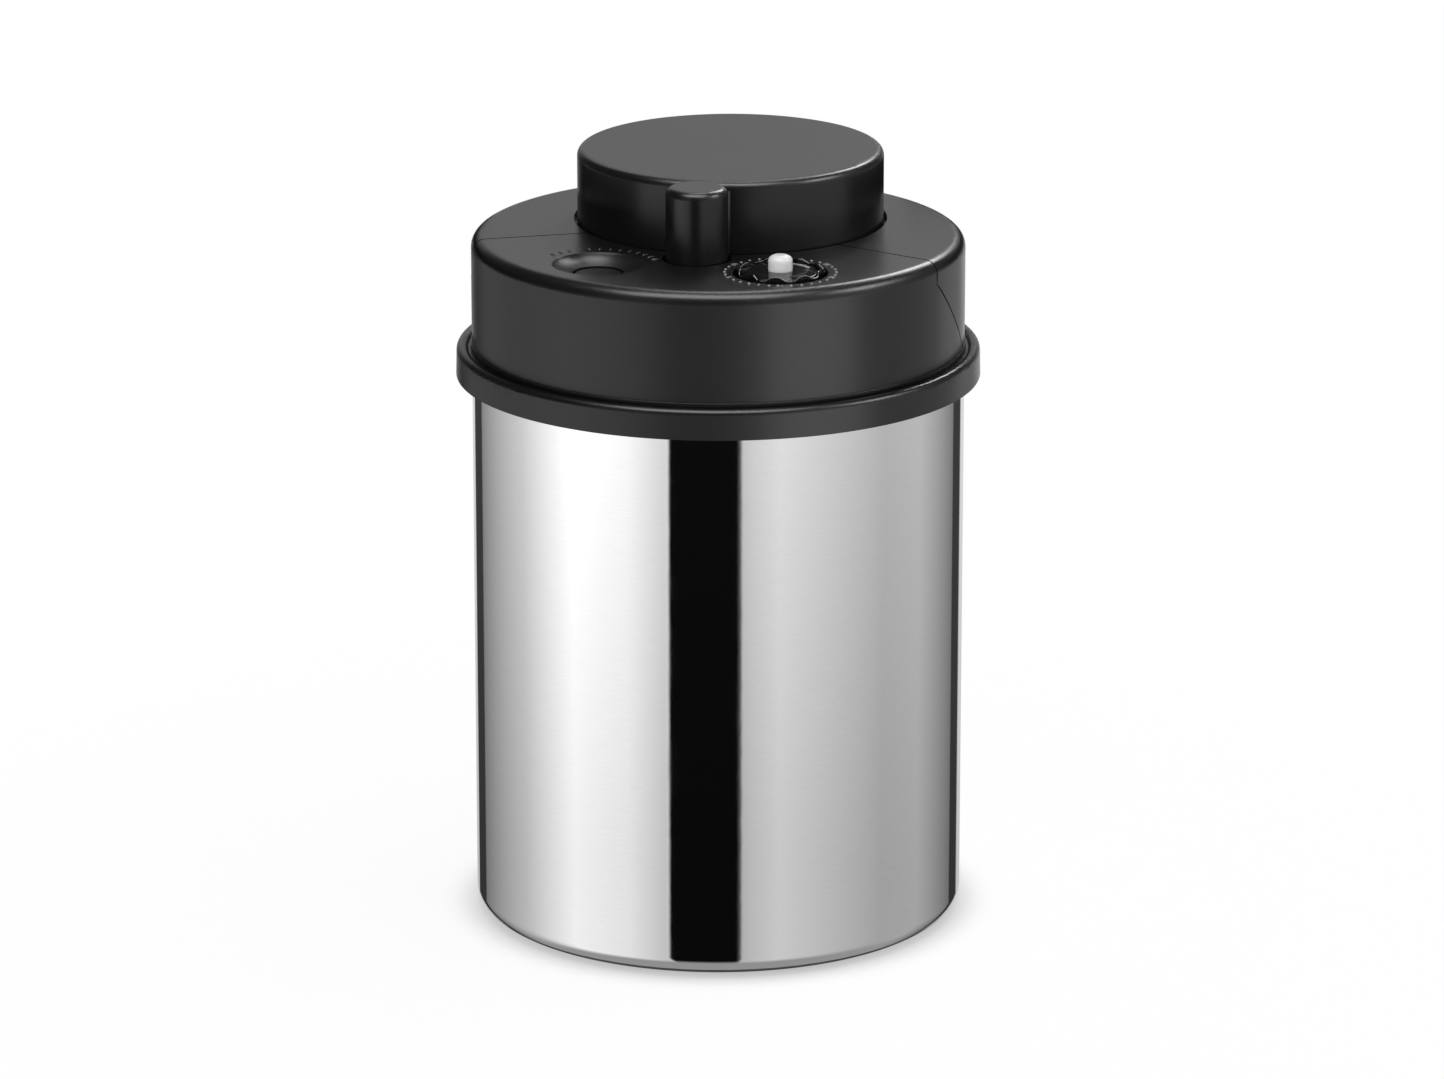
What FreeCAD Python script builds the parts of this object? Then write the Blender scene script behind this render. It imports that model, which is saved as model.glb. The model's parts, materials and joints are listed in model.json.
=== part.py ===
"""Vacuum seal canister: a steel can closed by a lid with a push pump, in millimetres.

The origin is the middle of the can's base, +Z is up and the lid's front faces -Y.
"""
import FreeCAD, Part
import math
import os
from types import SimpleNamespace

import Sketcher

SIZES = {
    # The drawn steel can, up to the top of its rolled rim
    "can_radius": 57.0,
    "can_height": 132.4,
    "can_wall": 0.7,
    "base_fillet": 4.5,
    "base_ring_width": 9.5,
    "base_panel_slope": 1.5,
    "base_panel_rise": 1.2,
    "rim_curl_radius": 0.9,
    # The soft ring between the rim and the lid
    "gasket_thickness": 1.5,
    "gasket_gap": 0.1,
    "gasket_side_gap": 0.15,
    # The lid's moulded base: flange, lip, groove, cover seat, deck and plug
    "rim_gap": 0.8,
    "flange_wall": 1.8,
    "flange_draft": 0.12,
    "flange_drop": 5.15,
    "lip_radius": 1.4,
    "lip_rise": 1.8,
    "groove_web": 0.9,
    "seat_step": 0.3,
    "seat_rise": 0.5,
    "seat_width": 2.7,
    "deck_thickness": 2.0,
    "plug_gap": 0.7,
    "plug_wall": 1.7,
    "plug_depth": 11.0,
    # The catches on the base that hold the covers' ribs down
    "catch_wall": 1.8,
    "catch_height": 5.0,
    "catch_hook_height": 1.4,
    "catch_gap": 0.3,
    "catch_angle": 16.0,
    "catch_count": 6,
    "rib_depth": 0.9,
    "rib_height": 1.7,
    # The two covers and the seam between them
    "cover_wall": 2.2,
    "cover_height": 25.3,
    "cover_fillet": 3.0,
    "seam_gap": 0.25,
    "seam_setback": 18.0,
    "seam_slant_angle": 25.0,
    "seam_drop": 5.1,
    "seam_rake_angle": 44.5,
    # The push knob with its key post, and the ring that keeps it in
    "rear_margin": 6.5,
    "knob_dial_gap": 7.2,
    "knob_rise": 16.7,
    "knob_wall": 2.2,
    "knob_fillet": 1.8,
    "knob_gap": 0.6,
    "knob_boss_radius": 2.8,
    "knob_boss_sink": 0.3,
    "knob_screw_count": 3,
    "post_radius": 7.1,
    "post_reach": 4.6,
    "stub_radius": 3.4,
    "stub_length": 16.0,
    "stop_overlap": 2.2,
    "stop_gap": 0.3,
    "stop_side_gap": 0.3,
    "stop_height": 2.2,
    "stop_thickness": 1.8,
    # The pump barrel, its seal, valve, felt and cap
    "pump_stroke": 12.0,
    "pump_clearance": 0.8,
    "barrel_wall": 2.0,
    "barrel_depth": 14.5,
    "barrel_floor": 2.0,
    "barrel_flange": 2.5,
    "barrel_gap": 0.4,
    "barrel_lead": 8.5,
    "barrel_screw_count": 4,
    "oring_inset": 1.3,
    "oring_width": 1.8,
    "oring_height": 1.4,
    "oring_gap": 0.1,
    "valve_radius": 8.0,
    "valve_thickness": 1.2,
    "valve_stem_radius": 1.2,
    "valve_stem_gap": 0.1,
    "valve_bulb_radius": 1.9,
    "valve_bulb_length": 1.5,
    "port_radius": 1.2,
    "port_circle": 5.0,
    "port_count": 6,
    "filter_thickness": 2.4,
    "filter_eye_gap": 1.1,
    "filter_gap": 0.3,
    "filter_cap_wall": 1.5,
    "filter_cap_floor": 1.6,
    "filter_cap_grip": 4.5,
    "perforation_radius": 1.3,
    "perforation_count": 8,
    # The piston, its seal and flap, and the rod that hangs it from the knob
    "piston_gap": 0.3,
    "piston_height": 6.0,
    "seal_height": 2.0,
    "seal_depth": 1.8,
    "seal_gap": 0.1,
    "seal_running_gap": 0.05,
    "outlet_circle": 8.0,
    "outlet_radius": 1.4,
    "outlet_count": 6,
    "flap_margin": 1.0,
    "flap_thickness": 0.7,
    "rod_wall": 2.0,
    "rod_gap": 0.1,
    "rod_collar": 2.0,
    # Screws of one size, and the bosses that they bite into
    "screw_radius": 1.5,
    "screw_head_radius": 2.8,
    "screw_head_height": 2.2,
    "screw_gap": 0.2,
    "thread_gap": 0.05,
    "screw_bite": 7.0,
    "screw_tip_gap": 0.8,
    "boss_wall": 2.1,
    # The scalloped date dial in its well
    "dial_angle": 31.4,
    "dial_edge_margin": 6.1,
    "dial_hole_radius": 10.7,
    "dial_side_gap": 0.8,
    "dial_wave": 0.9,
    "dial_lobes": 9,
    "dial_rim": 0.9,
    "dial_rim_rise": 1.2,
    "dial_face_rise": 0.3,
    "dial_rest_gap": 0.3,
    "dial_well_depth": 4.2,
    "dial_well_wall": 1.5,
    "well_side_wall": 1.0,
    "hub_radius": 4.4,
    "hub_running_gap": 0.08,
    "hub_drop": 3.0,
    "clip_thickness": 1.2,
    "clip_width": 2.4,
    "clip_groove": 0.5,
    "clip_gap": 0.1,
    # The release pin through the dial, and the valve plug on its end
    "pin_radius": 2.75,
    "pin_gap": 0.3,
    "pin_rise": 4.2,
    "pin_dome": 1.2,
    "pin_collar_radius": 3.8,
    "pin_collar_height": 2.0,
    "pin_collar_drop": 3.0,
    "pin_stem_radius": 1.5,
    "release_port_gap": 0.9,
    "plug_head_radius": 4.5,
    "plug_head_height": 2.8,
    "plug_seat_gap": 0.05,
    "plug_edge_round": 0.7,
    # The vacuum indicator in its dish
    "dish_radius": 10.6,
    "dish_depth": 2.0,
    "dish_wall": 1.5,
    "dish_edge_round": 0.3,
    "disc_recess": 0.3,
    "disc_radius": 5.4,
    "disc_gap": 0.3,
    "disc_thickness": 1.5,
    "guide_depth": 3.8,
    "indicator_stem_radius": 2.0,
    "stem_gap": 0.35,
    "pot_radius": 8.0,
    "pot_wall": 1.5,
    "pot_height": 4.0,
    "pot_port_radius": 1.0,
    "diaphragm_thickness": 0.8,
    "ring_thickness": 1.5,
    "ring_gap": 0.3,
    "ring_grip": 2.0,
    # Springs
    "spring_seat_gap": 0.1,
    "pump_wire": 0.8,
    "pump_spring_gap": 2.7,
    "spring_boss_gap": 0.6,
    "pump_spring_turns": 7,
    "spring_ring_gap": 0.4,
    "spring_ring_wall": 1.4,
    "spring_ring_height": 3.0,
    "release_wire": 0.35,
    "release_spring_gap": 1.15,
    "release_spring_turns": 6,
    "indicator_wire": 0.25,
    "indicator_spring_gap": 0.95,
    "indicator_spring_turns": 7,
    # Cuts run past the faces that they open by this much
    "overrun": 2.0,
}

FULL_TURN = 360
FIRST_BARREL_SCREW_ANGLE = 45

# Edges are found by their radius and height to this length, and a cut must change more than this share
EDGE_MATCH = 0.0001
LEAST_CHANGE_SHARE = 1e-9

# Rows of holes in the filter cap, as shares of the felt's radius
INNER_ROW_SHARE = 0.38
OUTER_ROW_SHARE = 0.74

doc = FreeCAD.newDocument("vacuum_canister")
sheet = doc.addObject("Spreadsheet::Sheet", "Sizes")


class Size:
    """A number together with the sheet expression that gives it."""

    def __init__(self, value, text):
        self.value = value
        self.text = text

    def __add__(self, other):
        other = as_size(other)
        return Size(self.value + other.value, f"({self.text} + {other.text})")

    def __sub__(self, other):
        other = as_size(other)
        return Size(self.value - other.value, f"({self.text} - {other.text})")

    def __mul__(self, other):
        other = as_size(other)
        return Size(self.value * other.value, f"({self.text} * {other.text})")

    def __truediv__(self, other):
        other = as_size(other)
        return Size(self.value / other.value, f"({self.text} / {other.text})")

    def __neg__(self):
        return Size(-self.value, f"(-1 * {self.text})")


def as_size(number):
    """Wraps a plain number, so that it can stand in a sum of sizes."""
    return number if isinstance(number, Size) else Size(number, str(number))


def root(size):
    return Size(math.sqrt(size.value), f"sqrt({size.text})")


def sine(angle):
    return Size(math.sin(math.radians(angle.value)), f"sin({angle.text})")


def cosine(angle):
    return Size(math.cos(math.radians(angle.value)), f"cos({angle.text})")


def tangent(angle):
    return Size(math.tan(math.radians(angle.value)), f"tan({angle.text})")


def sheet_cell(name, content):
    """Writes the next cell of the sheet and gives it its alias."""
    row = len(sheet_cell.names) + 1
    sheet_cell.names.append(name)
    sheet.set(f"A{row}", name)
    sheet.set(f"B{row}", content)
    sheet.setAlias(f"B{row}", name)


sheet_cell.names = []


def derived(name, size):
    """Keeps a worked-out size in the sheet, under a name of its own."""
    sheet_cell(name, "=" + size.text.replace("Sizes.", ""))
    return Size(size.value, f"Sizes.{name}")


for size_name, size_value in SIZES.items():
    sheet_cell(size_name, str(size_value))
s = SimpleNamespace(**{name: Size(value, f"Sizes.{name}") for name, value in SIZES.items()})

# Heights, from the can's rim upwards
rim_middle = derived("rim_middle", s.can_height - s.rim_curl_radius)
gasket_low = derived("gasket_low", s.can_height + s.gasket_gap)
deck_low = derived("deck_low", gasket_low + s.gasket_thickness)
deck_top = derived("deck_top", deck_low + s.deck_thickness)
seat_top = derived("seat_top", deck_top + s.seat_rise)
cover_top = derived("cover_top", seat_top + s.cover_height)
plate_low = derived("plate_low", cover_top - s.cover_wall)
flange_low = derived("flange_low", deck_low - s.flange_drop)
plug_low = derived("plug_low", deck_low - s.plug_depth)
lip_middle = derived("lip_middle", deck_low + s.lip_rise - s.lip_radius)
groove_floor = derived("groove_floor", deck_low + s.groove_web)
kink_height = derived("kink_height", cover_top - s.seam_drop)
knob_top = derived("knob_top", cover_top + s.knob_rise)
knob_ceiling = derived("knob_ceiling", knob_top - s.knob_wall)
stop_top = derived("stop_top", plate_low - s.stop_gap)
skirt_low = derived("skirt_low", stop_top - s.stop_height)
stop_low = derived("stop_low", skirt_low - s.stop_thickness)
stub_low = derived("stub_low", knob_ceiling - s.stub_length)
floor_top = derived("floor_top", deck_top - s.barrel_depth)
floor_low = derived("floor_low", floor_top - s.barrel_floor)
flange_top = derived("flange_top", deck_top + s.barrel_flange)
piston_low = derived("piston_low", floor_top + s.valve_thickness + s.pump_clearance + s.pump_stroke)
piston_top = derived("piston_top", piston_low + s.piston_height)
flap_top = derived("flap_top", piston_top + s.flap_thickness)
barrel_top = derived("barrel_top", piston_top + s.barrel_lead)
filter_low = derived("filter_low", floor_low - s.filter_thickness)
well_floor = derived("well_floor", cover_top - s.dial_well_depth)
well_low = derived("well_low", well_floor - s.dial_well_wall)
hub_low = derived("hub_low", well_low - s.hub_drop)
clip_top = derived("clip_top", well_low - s.clip_gap)
clip_low = derived("clip_low", clip_top - s.clip_thickness)
pin_top = derived("pin_top", cover_top + s.pin_rise)
collar_top = derived("collar_top", hub_low - s.pin_collar_drop)
collar_low = derived("collar_low", collar_top - s.pin_collar_height)
plug_head_top = derived("plug_head_top", deck_low - s.plug_seat_gap)
plug_head_low = derived("plug_head_low", plug_head_top - s.plug_head_height)
dish_floor = derived("dish_floor", cover_top - s.dish_depth)
disc_top = derived("disc_top", dish_floor - s.disc_recess)
disc_low = derived("disc_low", disc_top - s.disc_thickness)
guide_low = derived("guide_low", dish_floor - s.guide_depth)
pot_top = derived("pot_top", deck_top + s.pot_height)
diaphragm_top = derived("diaphragm_top", pot_top + s.diaphragm_thickness)
ring_top = derived("ring_top", diaphragm_top + s.ring_thickness)

# Radii about the can's axis
can_inner = derived("can_inner", s.can_radius - s.can_wall)
curl_middle = derived("curl_middle", can_inner + s.rim_curl_radius)
skirt_inner = derived("skirt_inner", curl_middle + s.rim_curl_radius + s.rim_gap)
flange_radius = derived("flange_radius", skirt_inner + s.flange_wall)
lip_edge = derived("lip_edge", flange_radius - s.flange_draft)
lip_crest = derived("lip_crest", lip_edge - s.lip_radius)
plug_outer = derived("plug_outer", can_inner - s.plug_gap)
plug_inner = derived("plug_inner", plug_outer - s.plug_wall)
cover_radius = derived("cover_radius", s.can_radius)
cover_inner = derived("cover_inner", cover_radius - s.cover_wall)
seat_radius = derived("seat_radius", cover_radius + s.seat_step)
rib_inner = derived("rib_inner", cover_inner - s.rib_depth)
catch_outer = derived("catch_outer", rib_inner - s.catch_gap)
catch_hook = derived("catch_hook", cover_inner - s.catch_gap)
catch_top = derived("catch_top", deck_top + s.catch_height)
hook_low = derived("hook_low", catch_top - s.catch_hook_height)

# The dial stands at the front right, the dish in the same place at the left
dial_circle = derived("dial_circle", cover_radius - s.dial_edge_margin - s.dial_hole_radius)
dial_x = derived("dial_x", dial_circle * sine(s.dial_angle))
dial_y = derived("dial_y", -(dial_circle * cosine(s.dial_angle)))

# The knob fills the room between the rear edge and the dial
knob_back = derived("knob_back", cover_radius - s.rear_margin)
knob_room = derived("knob_room", knob_back - dial_y)
dial_room = derived("dial_room", s.dial_hole_radius + s.knob_dial_gap)
knob_radius = derived(
    "knob_radius",
    (dial_x * dial_x + knob_room * knob_room - dial_room * dial_room) / ((knob_room + dial_room) * 2),
)
knob_y = derived("knob_y", knob_back - knob_radius)
knob_inner = derived("knob_inner", knob_radius - s.knob_wall)
knob_boss_circle = derived("knob_boss_circle", knob_inner + s.knob_boss_sink - s.knob_boss_radius)
post_circle = derived("post_circle", knob_radius + s.post_reach)
post_inner = derived("post_inner", s.post_radius - s.knob_wall)
stop_inner = derived("stop_inner", knob_radius + s.stop_side_gap)
stop_outer = derived("stop_outer", knob_radius + s.stop_overlap)

# Radii about the pump's axis: the spring and the barrel fill the room inside the knob's bosses
boss_edge = derived("boss_edge", knob_boss_circle - s.knob_boss_radius)
pump_spring_outer = derived("pump_spring_outer", boss_edge - s.spring_boss_gap)
pump_spring_radius = derived("pump_spring_radius", pump_spring_outer - s.pump_wire)
barrel_outer = derived("barrel_outer", pump_spring_radius - s.pump_wire - s.pump_spring_gap)
bore_radius = derived("bore_radius", barrel_outer - s.barrel_wall)
opening_radius = derived("opening_radius", barrel_outer + s.barrel_gap)
oring_inner = derived("oring_inner", opening_radius + s.oring_inset)
oring_outer = derived("oring_outer", oring_inner + s.oring_width)
spring_ring_outer = derived("spring_ring_outer", pump_spring_radius - s.pump_wire - s.spring_ring_gap)
spring_ring_inner = derived("spring_ring_inner", spring_ring_outer - s.spring_ring_wall)
barrel_screw_circle = derived(
    "barrel_screw_circle", pump_spring_outer + s.spring_ring_gap + s.screw_head_radius
)
barrel_flange_radius = derived(
    "barrel_flange_radius", barrel_screw_circle + s.screw_head_radius + s.screw_gap
)
screw_hole = derived("screw_hole", s.screw_radius + s.screw_gap)
thread_hole = derived("thread_hole", s.screw_radius + s.thread_gap)
boss_radius = derived("boss_radius", s.screw_radius + s.boss_wall)
piston_radius = derived("piston_radius", bore_radius - s.piston_gap)
seal_inner = derived("seal_inner", piston_radius - s.seal_depth)
seal_outer = derived("seal_outer", bore_radius - s.seal_running_gap)
rod_inner = derived("rod_inner", s.stub_radius + s.rod_gap)
rod_outer = derived("rod_outer", rod_inner + s.rod_wall)
rod_collar_outer = derived("rod_collar_outer", rod_outer + s.rod_collar)
flap_outer = derived("flap_outer", s.outlet_circle + s.outlet_radius + s.flap_margin)
filter_eye = derived("filter_eye", s.valve_bulb_radius + s.filter_eye_gap)
filter_outer = derived("filter_outer", barrel_outer - s.filter_gap)
filter_cap_inner = derived("filter_cap_inner", barrel_outer + s.filter_gap)
filter_cap_outer = derived("filter_cap_outer", filter_cap_inner + s.filter_cap_wall)

# Radii about the dial's and the dish's axes
dial_crest = derived("dial_crest", s.dial_hole_radius - s.dial_side_gap)
dial_valley = derived("dial_valley", dial_crest - s.dial_wave)
well_outer = derived("well_outer", s.dial_hole_radius + s.well_side_wall)
hub_hole = derived("hub_hole", s.hub_radius + s.hub_running_gap)
hub_bore = derived("hub_bore", s.pin_radius + s.pin_gap)
release_port = derived("release_port", s.pin_stem_radius + s.release_port_gap)
release_spring_radius = derived(
    "release_spring_radius", s.pin_stem_radius + s.release_spring_gap + s.release_wire
)
guide_inner = derived("guide_inner", s.disc_radius + s.disc_gap)
guide_outer = derived("guide_outer", guide_inner + s.dish_wall)
pot_outer = derived("pot_outer", s.pot_radius + s.pot_wall)
ring_hole = derived("ring_hole", s.indicator_stem_radius + s.stem_gap)
ring_inner = derived("ring_inner", pot_outer + s.ring_gap)
ring_outer = derived("ring_outer", ring_inner + s.ring_thickness)
indicator_spring_radius = derived(
    "indicator_spring_radius", s.indicator_stem_radius + s.indicator_spring_gap + s.indicator_wire
)
doc.recompute()


def new_body(label, x=0, y=0):
    """Starts a sub-part whose own axis stands at x, y."""
    body = doc.addObject("PartDesign::Body", label)
    body.Label = label
    body.setExpression("Placement.Base.x", as_size(x).text)
    body.setExpression("Placement.Base.y", as_size(y).text)
    return body


def origin_feature(body, role):
    return next(feature for feature in body.Origin.OriginFeatures if feature.Role == role)


def new_sketch(body, plane, offset):
    """Attaches a sketch to one of the body's own planes, moved by the offset in the plane's axes."""
    sketch = body.newObject("Sketcher::SketchObject", "sketch")
    sketch.AttachmentSupport = (origin_feature(body, plane), "")
    sketch.MapMode = "FlatFace"
    for axis, size in zip("xyz", offset):
        sketch.setExpression(f"AttachmentOffset.Base.{axis}", as_size(size).text)
    return sketch


def hold(sketch, kind, geometry, point, size):
    """Holds one coordinate of a sketch point at a size, or on the axis where it is zero."""
    if as_size(size).value == 0:
        axis = -2 if kind == "DistanceX" else -1
        sketch.addConstraint(Sketcher.Constraint("PointOnObject", geometry, point, axis))
        return
    index = sketch.addConstraint(Sketcher.Constraint(kind, -1, 1, geometry, point, size.value))
    sketch.setExpression(f"Constraints[{index}]", size.text)


def draw_outline(sketch, corners):
    """Draws a closed outline. A corner with a third entry is reached by an anticlockwise arc about it."""
    places = [FreeCAD.Vector(as_size(corner[0]).value, as_size(corner[1]).value) for corner in corners]
    count = len(corners)
    for index, corner in enumerate(corners):
        start, end = places[index - 1], places[index]
        if len(corner) == 2:
            sketch.addGeometry(Part.LineSegment(start, end))
            continue
        middle = FreeCAD.Vector(as_size(corner[2][0]).value, as_size(corner[2][1]).value)
        circle = Part.Circle(middle, FreeCAD.Vector(0, 0, 1), (start - middle).Length)
        first = math.atan2(start.y - middle.y, start.x - middle.x)
        last = math.atan2(end.y - middle.y, end.x - middle.x)
        sketch.addGeometry(Part.ArcOfCircle(circle, first, last if last > first else last + math.tau))
    for index in range(count):
        sketch.addConstraint(Sketcher.Constraint("Coincident", index, 2, (index + 1) % count, 1))
    for index, corner in enumerate(corners):
        kinds = ["DistanceX", "DistanceY"]
        if len(corner) == 3:
            hold(sketch, "DistanceX", index, 3, corner[2][0])
            hold(sketch, "DistanceY", index, 3, corner[2][1])
            reach = places[index] - FreeCAD.Vector(as_size(corner[2][0]).value, as_size(corner[2][1]).value)
            kinds.remove("DistanceX" if abs(reach.x) > abs(reach.y) else "DistanceY")
        for kind in kinds:
            hold(sketch, kind, index, 2, corner[0] if kind == "DistanceX" else corner[1])


def draw_circle(sketch, radius, x, y):
    place = FreeCAD.Vector(as_size(x).value, as_size(y).value)
    sketch.addGeometry(Part.Circle(place, FreeCAD.Vector(0, 0, 1), radius.value))
    index = sketch.addConstraint(Sketcher.Constraint("Radius", 0, radius.value))
    sketch.setExpression(f"Constraints[{index}]", radius.text)
    hold(sketch, "DistanceX", 0, 3, x)
    hold(sketch, "DistanceY", 0, 3, y)


def finish_feature(body, feature, before):
    """Recomputes, and stops if the feature left the solid as it was."""
    body.Tip = feature
    doc.recompute()
    if math.isclose(feature.Shape.Volume, before, rel_tol=LEAST_CHANGE_SHARE):
        raise RuntimeError(f"{feature.Label} in {body.Label} changes nothing")
    return feature


def volume_now(body):
    doc.recompute()
    return body.Tip.Shape.Volume if body.Tip else 0


def turned(body, corners, x=0, y=0, cut=False):
    """Turns an outline of radii and heights about a vertical axis at x, y."""
    before = volume_now(body)
    sketch = new_sketch(body, "XZ_Plane", (x, 0, -as_size(y)))
    draw_outline(sketch, corners)
    feature = body.newObject("PartDesign::Groove" if cut else "PartDesign::Revolution", "turned")
    feature.Profile = sketch
    feature.ReferenceAxis = (sketch, ["V_Axis"])
    feature.Angle = FULL_TURN
    return finish_feature(body, feature, before)


def turned_arc(body, corners, angle):
    """Turns an outline through part of a circle, half to each side of the rear."""
    before = volume_now(body)
    sketch = new_sketch(body, "YZ_Plane", (0, 0, 0))
    draw_outline(sketch, corners)
    feature = body.newObject("PartDesign::Revolution", "turned_arc")
    feature.Profile = sketch
    feature.ReferenceAxis = (sketch, ["V_Axis"])
    feature.setExpression("Angle", angle.text)
    feature.Midplane = True
    return finish_feature(body, feature, before)


def extruded(body, draw, low, high, cut=False):
    """Pads or cuts what draw puts in a level sketch, from low to high."""
    before = volume_now(body)
    sketch = new_sketch(body, "XY_Plane", (0, 0, low))
    draw(sketch)
    feature = body.newObject("PartDesign::Pocket" if cut else "PartDesign::Pad", "extruded")
    feature.Profile = sketch
    feature.Reversed = cut
    feature.setExpression("Length", (as_size(high) - low).text)
    return finish_feature(body, feature, before)


def round_bar(body, radius, low, high, x=0, y=0):
    return extruded(body, lambda sketch: draw_circle(sketch, radius, x, y), low, high)


def round_hole(body, radius, low, high, x=0, y=0):
    return extruded(body, lambda sketch: draw_circle(sketch, radius, x, y), low, high, cut=True)


def repeated(body, feature, count, y=0):
    """Repeats a feature round the vertical axis at x zero and the given y."""
    before = volume_now(body)
    axis = new_sketch(body, "XY_Plane", (0, y, 0))
    pattern = body.newObject("PartDesign::PolarPattern", "repeated")
    pattern.Originals = [feature]
    pattern.Axis = (axis, ["N_Axis"])
    pattern.Angle = FULL_TURN
    pattern.setExpression("Occurrences", count.text)
    return finish_feature(body, pattern, before)


def rounded(body, radius, rings):
    """Fillets each circular edge whose radius and height are listed."""
    before = volume_now(body)
    base = body.Tip
    names = []
    for index, edge in enumerate(base.Shape.Edges):
        for ring_radius, height in rings:
            if isinstance(edge.Curve, Part.Circle):
                same_radius = math.isclose(edge.Curve.Radius, ring_radius.value, abs_tol=EDGE_MATCH)
                same_height = math.isclose(edge.Curve.Center.z, as_size(height).value, abs_tol=EDGE_MATCH)
                if same_radius and same_height:
                    names.append(f"Edge{index + 1}")
    feature = body.newObject("PartDesign::Fillet", "rounded")
    feature.Base = (base, names)
    feature.setExpression("Radius", radius.text)
    return finish_feature(body, feature, before)


def ring_corners(inner, outer, low, high):
    return [(inner, low), (outer, low), (outer, high), (inner, high)]


def round_shoulder(radius, top, fillet):
    """The two corners of an outline that goes up a wall and rounds over to the top."""
    middle = (radius - fillet, top - fillet)
    return [(radius, top - fillet), (radius - fillet, top, middle)]


def on_circle(circle, degrees):
    """Gives the place at an angle on a circle, from the +X axis."""
    angle = as_size(degrees)
    return circle * cosine(angle), circle * sine(angle)


def make_steel_can():
    body = new_body("steel_can")
    panel_edge = s.can_radius - s.base_ring_width - s.base_panel_slope
    ring_edge = s.can_radius - s.base_ring_width
    curl_foot = rim_middle - root(
        s.rim_curl_radius * s.rim_curl_radius - (curl_middle - s.can_radius) * (curl_middle - s.can_radius)
    )
    panel_top = s.base_panel_rise + s.can_wall
    turned(body, [
        (0, s.base_panel_rise),
        (panel_edge, s.base_panel_rise),
        (ring_edge, 0),
        (s.can_radius, 0),
        (s.can_radius, curl_foot),
        (can_inner, rim_middle, (curl_middle, rim_middle)),
        (can_inner, s.can_wall),
        (ring_edge, s.can_wall),
        (panel_edge, panel_top),
        (0, panel_top),
    ])
    rounded(body, s.base_fillet, [(s.can_radius, 0)])
    rounded(body, s.base_fillet - s.can_wall, [(can_inner, s.can_wall)])
    return body


def make_lid_base():
    body = new_body("lid_base")
    lip_reach = root(
        s.lip_radius * s.lip_radius - (groove_floor - lip_middle) * (groove_floor - lip_middle)
    )
    seat_inner = seat_radius - s.seat_width
    turned(body, [
        (0, deck_low),
        (plug_inner, deck_low),
        (plug_inner, plug_low),
        (plug_outer, plug_low),
        (plug_outer, deck_low),
        (skirt_inner, deck_low),
        (skirt_inner, flange_low),
        (flange_radius, flange_low),
        (lip_edge, lip_middle),
        (lip_crest - lip_reach, groove_floor, (lip_crest, lip_middle)),
        (seat_radius, groove_floor),
        (seat_radius, seat_top),
        (seat_inner, seat_top),
        (seat_inner, deck_top),
        (0, deck_top),
    ])
    # Catches that the covers' ribs snap under
    catch = turned_arc(body, [
        (catch_outer - s.catch_wall, deck_top),
        (catch_outer, deck_top),
        (catch_outer, hook_low),
        (catch_hook, hook_low),
        (catch_hook, catch_top),
        (catch_outer - s.catch_wall, catch_top),
    ], s.catch_angle)
    repeated(body, catch, s.catch_count)
    # Opening for the barrel, and blind bosses for its screws
    round_hole(body, opening_radius, deck_low, deck_top, 0, knob_y)
    boss_x, boss_y = on_circle(barrel_screw_circle, FIRST_BARREL_SCREW_ANGLE)
    boss_low = deck_top - s.screw_bite - s.screw_tip_gap - s.boss_wall
    boss = round_bar(body, boss_radius, boss_low, deck_low, boss_x, knob_y + boss_y)
    repeated(body, boss, s.barrel_screw_count, knob_y)
    thread_low = deck_top - s.screw_bite - s.screw_tip_gap
    thread = round_hole(body, thread_hole, thread_low, deck_top, boss_x, knob_y + boss_y)
    repeated(body, thread, s.barrel_screw_count, knob_y)
    # Port of the release valve, and the indicator's pot with its own port
    round_hole(body, release_port, deck_low, deck_top, dial_x, dial_y)
    turned(body, ring_corners(s.pot_radius, pot_outer, deck_top, pot_top), -dial_x, dial_y)
    round_hole(body, s.pot_port_radius, deck_low, deck_top, -dial_x, dial_y)
    return body


def make_main_gasket():
    body = new_body("main_gasket")
    inner = plug_outer + s.gasket_side_gap
    turned(body, ring_corners(inner, skirt_inner - s.gasket_side_gap, gasket_low, deck_low))
    return body


def make_cover(label):
    """The whole cover with its keyhole, before the seam parts it in two."""
    body = new_body(label)
    turned(body, [
        (0, plate_low),
        (cover_inner, plate_low),
        (cover_inner, seat_top),
        (cover_radius, seat_top),
        (cover_radius, cover_top),
        (0, cover_top),
    ])
    rounded(body, s.cover_fillet, [(cover_radius, cover_top)])
    rounded(body, s.cover_fillet - s.cover_wall, [(cover_inner, plate_low)])
    rib_top = hook_low - s.catch_gap
    rib_corners = ring_corners(rib_inner, cover_inner + s.cover_wall / 2, rib_top - s.rib_height, rib_top)
    rib = turned_arc(body, rib_corners, s.catch_angle)
    repeated(body, rib, s.catch_count)
    hole_top = cover_top + s.overrun
    round_hole(body, knob_radius + s.knob_gap, plate_low, hole_top, 0, knob_y)
    round_hole(body, s.post_radius + s.knob_gap, plate_low, hole_top, 0, knob_y - post_circle)
    return body


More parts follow.
